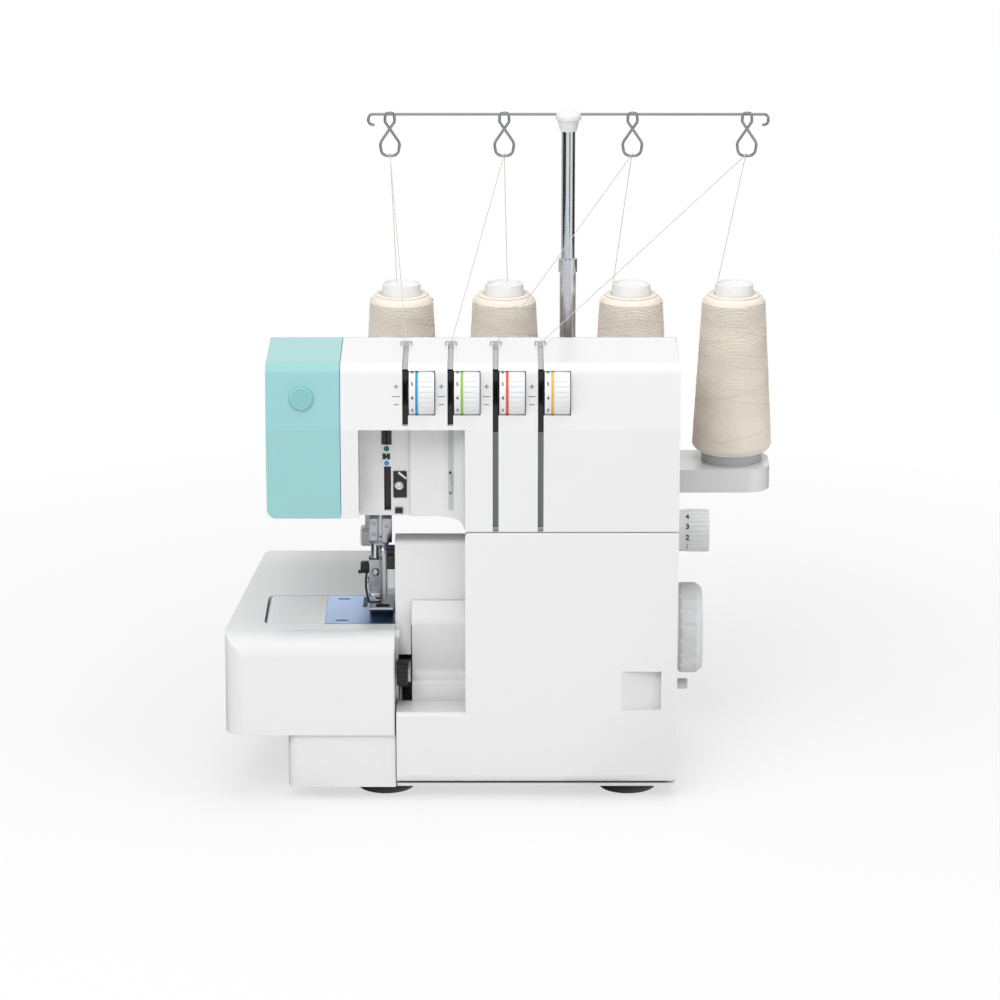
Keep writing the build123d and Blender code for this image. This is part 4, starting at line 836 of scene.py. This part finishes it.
def makeMouths(s):
    upper, level = bmesh.new(), bmesh.new()
    for i in range(4):
        sides = (grooveX(i) - s["width"] / 2, grooveX(i) + s["width"] / 2)
        corners = []
        for z in (s["low"][i], s["high"]):
            corners += [at(side, panelY(z) + s["depth"], z) for side in sides]
        addSlab(upper, corners, Vector((0, -s["thick"], 0)) / 1000)
        corners = []
        for y in (s["front"], s["back"]):
            z = s["floor"] + s["rise"] * (y - s["edge"])
            corners += [at(side, y, z) for side in sides]
        addSlab(level, corners, Vector((0, 0, s["skin"])) / 1000)
    # black sheets: painted shade in the groove mouths
    addBuilt(upper, "grooveMouths", "machine", "black")
    # pale grey skins: painted shade on the groove floors
    addBuilt(level, "grooveFloors", "machine", "paintedGrooveShade")


makeMouths(mouthSizes)

# needle recess: slot blocks with a pale plate and two spots
slotSizes = dict(
    face=24.5,
    blocks=((-52.2, -49.4, -0.6, 0.05, 228.1, 236.8, 0.1), (-48.7, -45.9, -0.6, 0.05, 228.1, 236.8, 0.1),
            (-51.6, -49.5, -0.6, 0.05, 218.4, 222.3, 0.1), (-48.9, -46.9, -0.6, 0.05, 218.4, 222.3, 0.1),
            (-50.0, -48.4, -0.6, 0.05, 219.6, 221.1, 0.1), (-45.0, -36.6, -0.9, 0.05, 193.6, 210.8, 0.3),
            (-44.0, -39.2, -2.2, 0.05, 183.6, 187.1, 0.3), (-52.4, -44.8, 3.7, 4.3, 183.2, 238.6)),
    plate=(-52.3, -45.8, -0.3, 0.05, 213.8, 227.9, 0.1), spotX=-49.1, spotThick=0.25,
    spots=(("greenSpot", 225.3, 1.8, "deepGreen"), ("blueSpot", 215.9, 1.6, "blue")))


def frontDisc(build, x, y, z, radius, thick):
    sunk = 0.05  # how far the disc sits in the wall
    rim = [(0, 0), (radius, 0), (radius, thick * 0.7), (radius - thick * 0.4, thick), (0, thick)]
    addTurned(build, rim, facingFront(x, y + sunk, z), steps=28)


def makeSlotTrim(s):
    build = bmesh.new()
    for box in s["blocks"]:
        addBox(build, box, s["face"])
    addBuilt(build, "slotBlocks", "machine", "black")
    build = bmesh.new()
    addBox(build, s["plate"], s["face"])
    addBuilt(build, "slotLabel", "machine", "dial")
    for name, z, radius, finish in s["spots"]:
        build = bmesh.new()
        frontDisc(build, s["spotX"], s["face"] + s["plate"][2], z, radius, s["spotThick"])
        addBuilt(build, name, "machine", finish)


makeSlotTrim(slotSizes)

# release plate with its screw, and the thread clip on two bosses
releaseSizes = dict(screw=(-41.35, 23.65, 201.7), radius=3.0, height=1.8, tilt=39,
                    lever=(-42.6, -36.0, 22.9, 23.6, 207.5, 209.0, 0.25),
                    lip=(-43.4, -39.8, 23.0, 24.4, 182.3, 183.7, 0.2))
clipSizes = dict(x=-9.1, wire=0.45, bossY=18.75, bossRadius=1.0, bossThick=0.5,
                 path=((19.4, 211.3), (17.4, 210.6), (16.6, 208.8), (16.4, 204.8), (16.6, 200.8),
                       (17.4, 199.0), (19.4, 198.4)))


def makeRelease(s):
    build = bmesh.new()
    addScrew(build, facingFront(*s["screw"]), s["radius"], s["height"])
    addBox(build, s["lever"], turn=Matrix.Rotation(math.radians(s["tilt"]), 3, "Y"))
    addBox(build, s["lip"])
    addBuilt(build, "releasePlate", "machine", "bright")


def makeClip(s):
    build = bmesh.new()
    addTube(build, [(s["x"], y, z) for y, z in s["path"]], s["wire"], sides=10)
    addBuilt(build, "recessClip", "machine", "bright")
    build = bmesh.new()
    for y, z in (s["path"][0], s["path"][-1]):
        frontDisc(build, s["x"], s["bossY"], z, s["bossRadius"], s["bossThick"])
    addBuilt(build, "clipBosses", "machine", "black")


makeRelease(releaseSizes)
makeClip(clipSizes)

# pale grey strip along the recess wall, which is an arc, painted shade of a channel, and dark grey strips
# on the lower ends of the two long grooves, painted shade of the groove ends
channelSizes = dict(low=187.0, high=243.6, left=-10.6, right=-7.2, steps=8, proud=0.08, sunk=0.2,
                    arc=20, arcX=-20, arcY=2)
endSizes = dict(grooves=(2, 3), half=1.75, low=178.6, high=180.65, skin=0.05)


def makeChannel(s):
    build = bmesh.new()
    proud, sunk, low, high = -s["proud"], s["sunk"], s["low"], s["high"]
    outline = ((proud, low), (proud, high), (sunk, high), (sunk, low))
    columns = []
    for k in range(s["steps"] + 1):
        x = s["left"] + (s["right"] - s["left"]) * k / s["steps"]
        y = s["arcY"] + math.sqrt(s["arc"] ** 2 - (x - s["arcX"]) ** 2)
        columns.append([build.verts.new(at(x, y + d, z)) for d, z in outline])
    for a, b in zip(columns, columns[1:]):
        for k in range(4):
            n = (k + 1) % 4
            build.faces.new([a[k], b[k], b[n], a[n]])
    build.faces.new(columns[0])
    build.faces.new(columns[-1])
    # pale grey strip: painted shade of the channel
    addBuilt(build, "recessChannel", "machine", "paintedGrooveShade")


def makeGrooveEnds(s):
    build = bmesh.new()
    for x in (grooveX(i) for i in s["grooves"]):
        addBox(build, (x - s["half"], x + s["half"], -s["skin"], s["skin"], s["low"], s["high"]))
    # dark grey strips: painted shade at the groove ends
    addBuilt(build, "grooveEnds", "machine", "grey")


makeChannel(channelSizes)
makeGrooveEnds(endSizes)

# black blocks in two slots of the stitch plate, painted shade of the openings
plateSizes = dict(left=-82.1, right=-74.9, rows=(32.5, 76.5), half=0.75, low=109.02, high=109.75,
                  bevel=0.3)


def makePlateSlots(s):
    build = bmesh.new()
    for y in s["rows"]:
        near, far = y - s["half"], y + s["half"]
        addBox(build, (s["left"], s["right"], near, far, s["low"], s["high"], s["bevel"]))
    # black blocks: painted shade in the slots
    addBuilt(build, "plateSlots", "machine", "black")


makePlateSlots(plateSizes)
print("stage: needle recess")

# needle clamp: plates, screws, collets and thread guide; the collets are coloured blue, a painted blue
# reflection on the needle shanks
clampSizes = dict(
    front=51.0,
    plates=((-61.4, -55.4, -1.6, 0.2, 157.4, 172.2, 0.4), (-53.4, -46.8, -2.2, 0.2, 156.4, 172.4, 0.4),
            (-60.6, -48.8, -0.4, 9.4, 154.9, 156.1, 0.3)),
    screws=((-58.6, 49.5, 168.6), (-58.6, 49.5, 161.6), (-50.2, 49.5, 167.2)),
    screwRadius=1.25, screwHeight=1.2,
    colletSpots=((-54.6, 56.0), (-50.8, 53.0)),
    collet=((0.9, 155.2), (1.7, 155.2), (1.7, 151.4), (1.2, 150.6), (0.9, 150.6)),
    guide=((-60.0, 51.6, 157.0), (-60.2, 49.4, 156.4), (-58.0, 48.2, 155.6), (-54.0, 47.8, 155.4),
           (-50.4, 48.4, 155.6)), wire=0.45)


def makeClampTrim(s):
    build = bmesh.new()
    for box in s["plates"]:
        addBox(build, box, s["front"])
    addBuilt(build, "clampPlates", "needle", "clamp")
    build = bmesh.new()
    for spot in s["screws"]:
        addScrew(build, facingFront(*spot), s["screwRadius"], s["screwHeight"], steps=20)
    addBuilt(build, "clampScrews", "needle", "bright")
    build = bmesh.new()
    for x, y in s["colletSpots"]:
        addTurned(build, s["collet"], Matrix.Translation(at(x, y, 0)), steps=20)
    # blue collets: painted blue reflection on the needle shanks
    addBuilt(build, "needleCollets", "needle", "paintedBlueReflection")
    build = bmesh.new()
    addTube(build, s["guide"], s["wire"])
    addBuilt(build, "needleGuide", "needle", "bright")


makeClampTrim(clampSizes)

# thread cutter with its wire, and the ankle with its screws, on the presser
presserSizes = dict(
    cutter=((-67.6, -61.9, 67.0, 73.5, 130.2, 137.0, 0.8),
            (-69.2, -66.6, 68.5, 72.0, 129.6, 131.4, 0.4)),
    wirePath=((-63.6, 69.0, 130.7), (-64.2, 66.0, 126.5), (-64.0, 62.0, 122.0), (-62.8, 58.0, 117.2),
              (-61.4, 55.0, 114.2)), wire=0.7,
    sideScrew=(-62.0, 72.0, 124.5), sideRadius=2.3, sideHeight=1.8,
    frontScrew=(-58.0, 67.9, 131.0), frontRadius=2.6, frontHeight=2.2,
    ankle=(-62.6, -54.2, 62.0, 67.9, 113.0, 118.6, 0.6))


def makePresserTrim(s):
    build = bmesh.new()
    for box in s["cutter"]:
        addBox(build, box)
    addTube(build, s["wirePath"], s["wire"])
    addBuilt(build, "threadCutter", "presser", "black")
    build = bmesh.new()
    facingLeft = Matrix.Translation(at(*s["sideScrew"])) @ Matrix.Rotation(-math.pi / 2, 4, "Y")
    addScrew(build, facingLeft, s["sideRadius"], s["sideHeight"], steps=20)
    addScrew(build, facingFront(*s["frontScrew"]), s["frontRadius"], s["frontHeight"], steps=24)
    addBox(build, s["ankle"])
    addBuilt(build, "footAnkle", "presser", "bright")


makePresserTrim(presserSizes)
print("stage: needle clamp and presser")

# screws of the back and the base, one head set on points
screwSizes = dict(radius=3.0, height=1.7, backY=168.0, underZ=9.0,
                  back=((12, 160), (121, 160), (12, 55), (121, 55), (-62, 236)),
                  under=((-96, 70), (-96, 150), (122, 60), (122, 150), (40, 95)))


def makeScrews(s):
    build = bmesh.new()
    addScrew(build, Matrix.Identity(4), s["radius"], s["height"], steps=20)
    template = bpy.data.objects.new("screwHead", meshOf(build, "screwHead"))
    scene.collection.objects.link(template)
    spots = [(at(x, s["backY"], z), (0, 1, 0)) for x, z in s["back"]]
    spots += [(at(x, y, s["underZ"]), (0, 0, -1)) for x, y in s["under"]]
    mesh = bpy.data.meshes.new("screwPoints")
    mesh.from_pydata([p for p, n in spots], [], [])
    facing = mesh.attributes.new("facing", "FLOAT_VECTOR", "POINT")
    for entry, (p, n) in zip(facing.data, spots):
        entry.vector = n
    holder = bpy.data.objects.new("screwPoints", mesh)
    scene.collection.objects.link(holder)
    tree, into, out = geometryTree("screwHeads", {"Size": 1.0})
    head = addNode(tree, "GeometryNodeObjectInfo")
    head.inputs["Object"].default_value = template
    head.inputs["As Instance"].default_value = True
    toward = addNode(tree, "GeometryNodeInputNamedAttribute", data_type="FLOAT_VECTOR")
    toward.inputs["Name"].default_value = "facing"
    turn = addNode(tree, "FunctionNodeAlignRotationToVector", axis="Z")
    joinUp(tree, toward.outputs["Attribute"], turn.inputs["Vector"])
    place = addNode(tree, "GeometryNodeInstanceOnPoints")
    joinUp(tree, into.outputs["Geometry"], place.inputs["Points"])
    joinUp(tree, head.outputs["Geometry"], place.inputs["Instance"])
    joinUp(tree, turn.outputs["Rotation"], place.inputs["Rotation"])
    joinUp(tree, into.outputs["Size"], place.inputs["Scale"])
    closeTree(tree, place.outputs[0], out, "clamp")
    baked = runTree(holder, tree, {"Size": 1.0})
    bpy.data.objects.remove(template)
    addPiece(baked, "caseScrews", "machine", "clamp")


makeScrews(screwSizes)

# ring on the round cap, catch on the table
trimSizes = dict(capX=-101.0, capZ=263.5, capRing=6.2,
                 ring=((-0.5, 1.2), (-0.3, 1.72), (0.1, 1.78), (0.5, 1.5), (0.6, 1.1)),
                 catch=(-46.0, -41.4, 15.0, 21.0, 103.6, 108.4, 0.9))


def makeSmallTrim(s):
    build = bmesh.new()
    turn = Matrix.Rotation(math.pi / 2 - math.atan(panel["lean"]), 4, "X")
    place = Matrix.Translation(at(s["capX"], panelY(s["capZ"]), s["capZ"])) @ turn
    addTurned(build, [(s["capRing"] + out, height) for out, height in s["ring"]], place, steps=64)
    addBuilt(build, "capRing", "machine", "teal")
    build = bmesh.new()
    addBox(build, s["catch"])
    addBuilt(build, "tableCatch", "table", "white")


makeSmallTrim(trimSizes)
print("stage: screws and small trim")

print("stage: done")
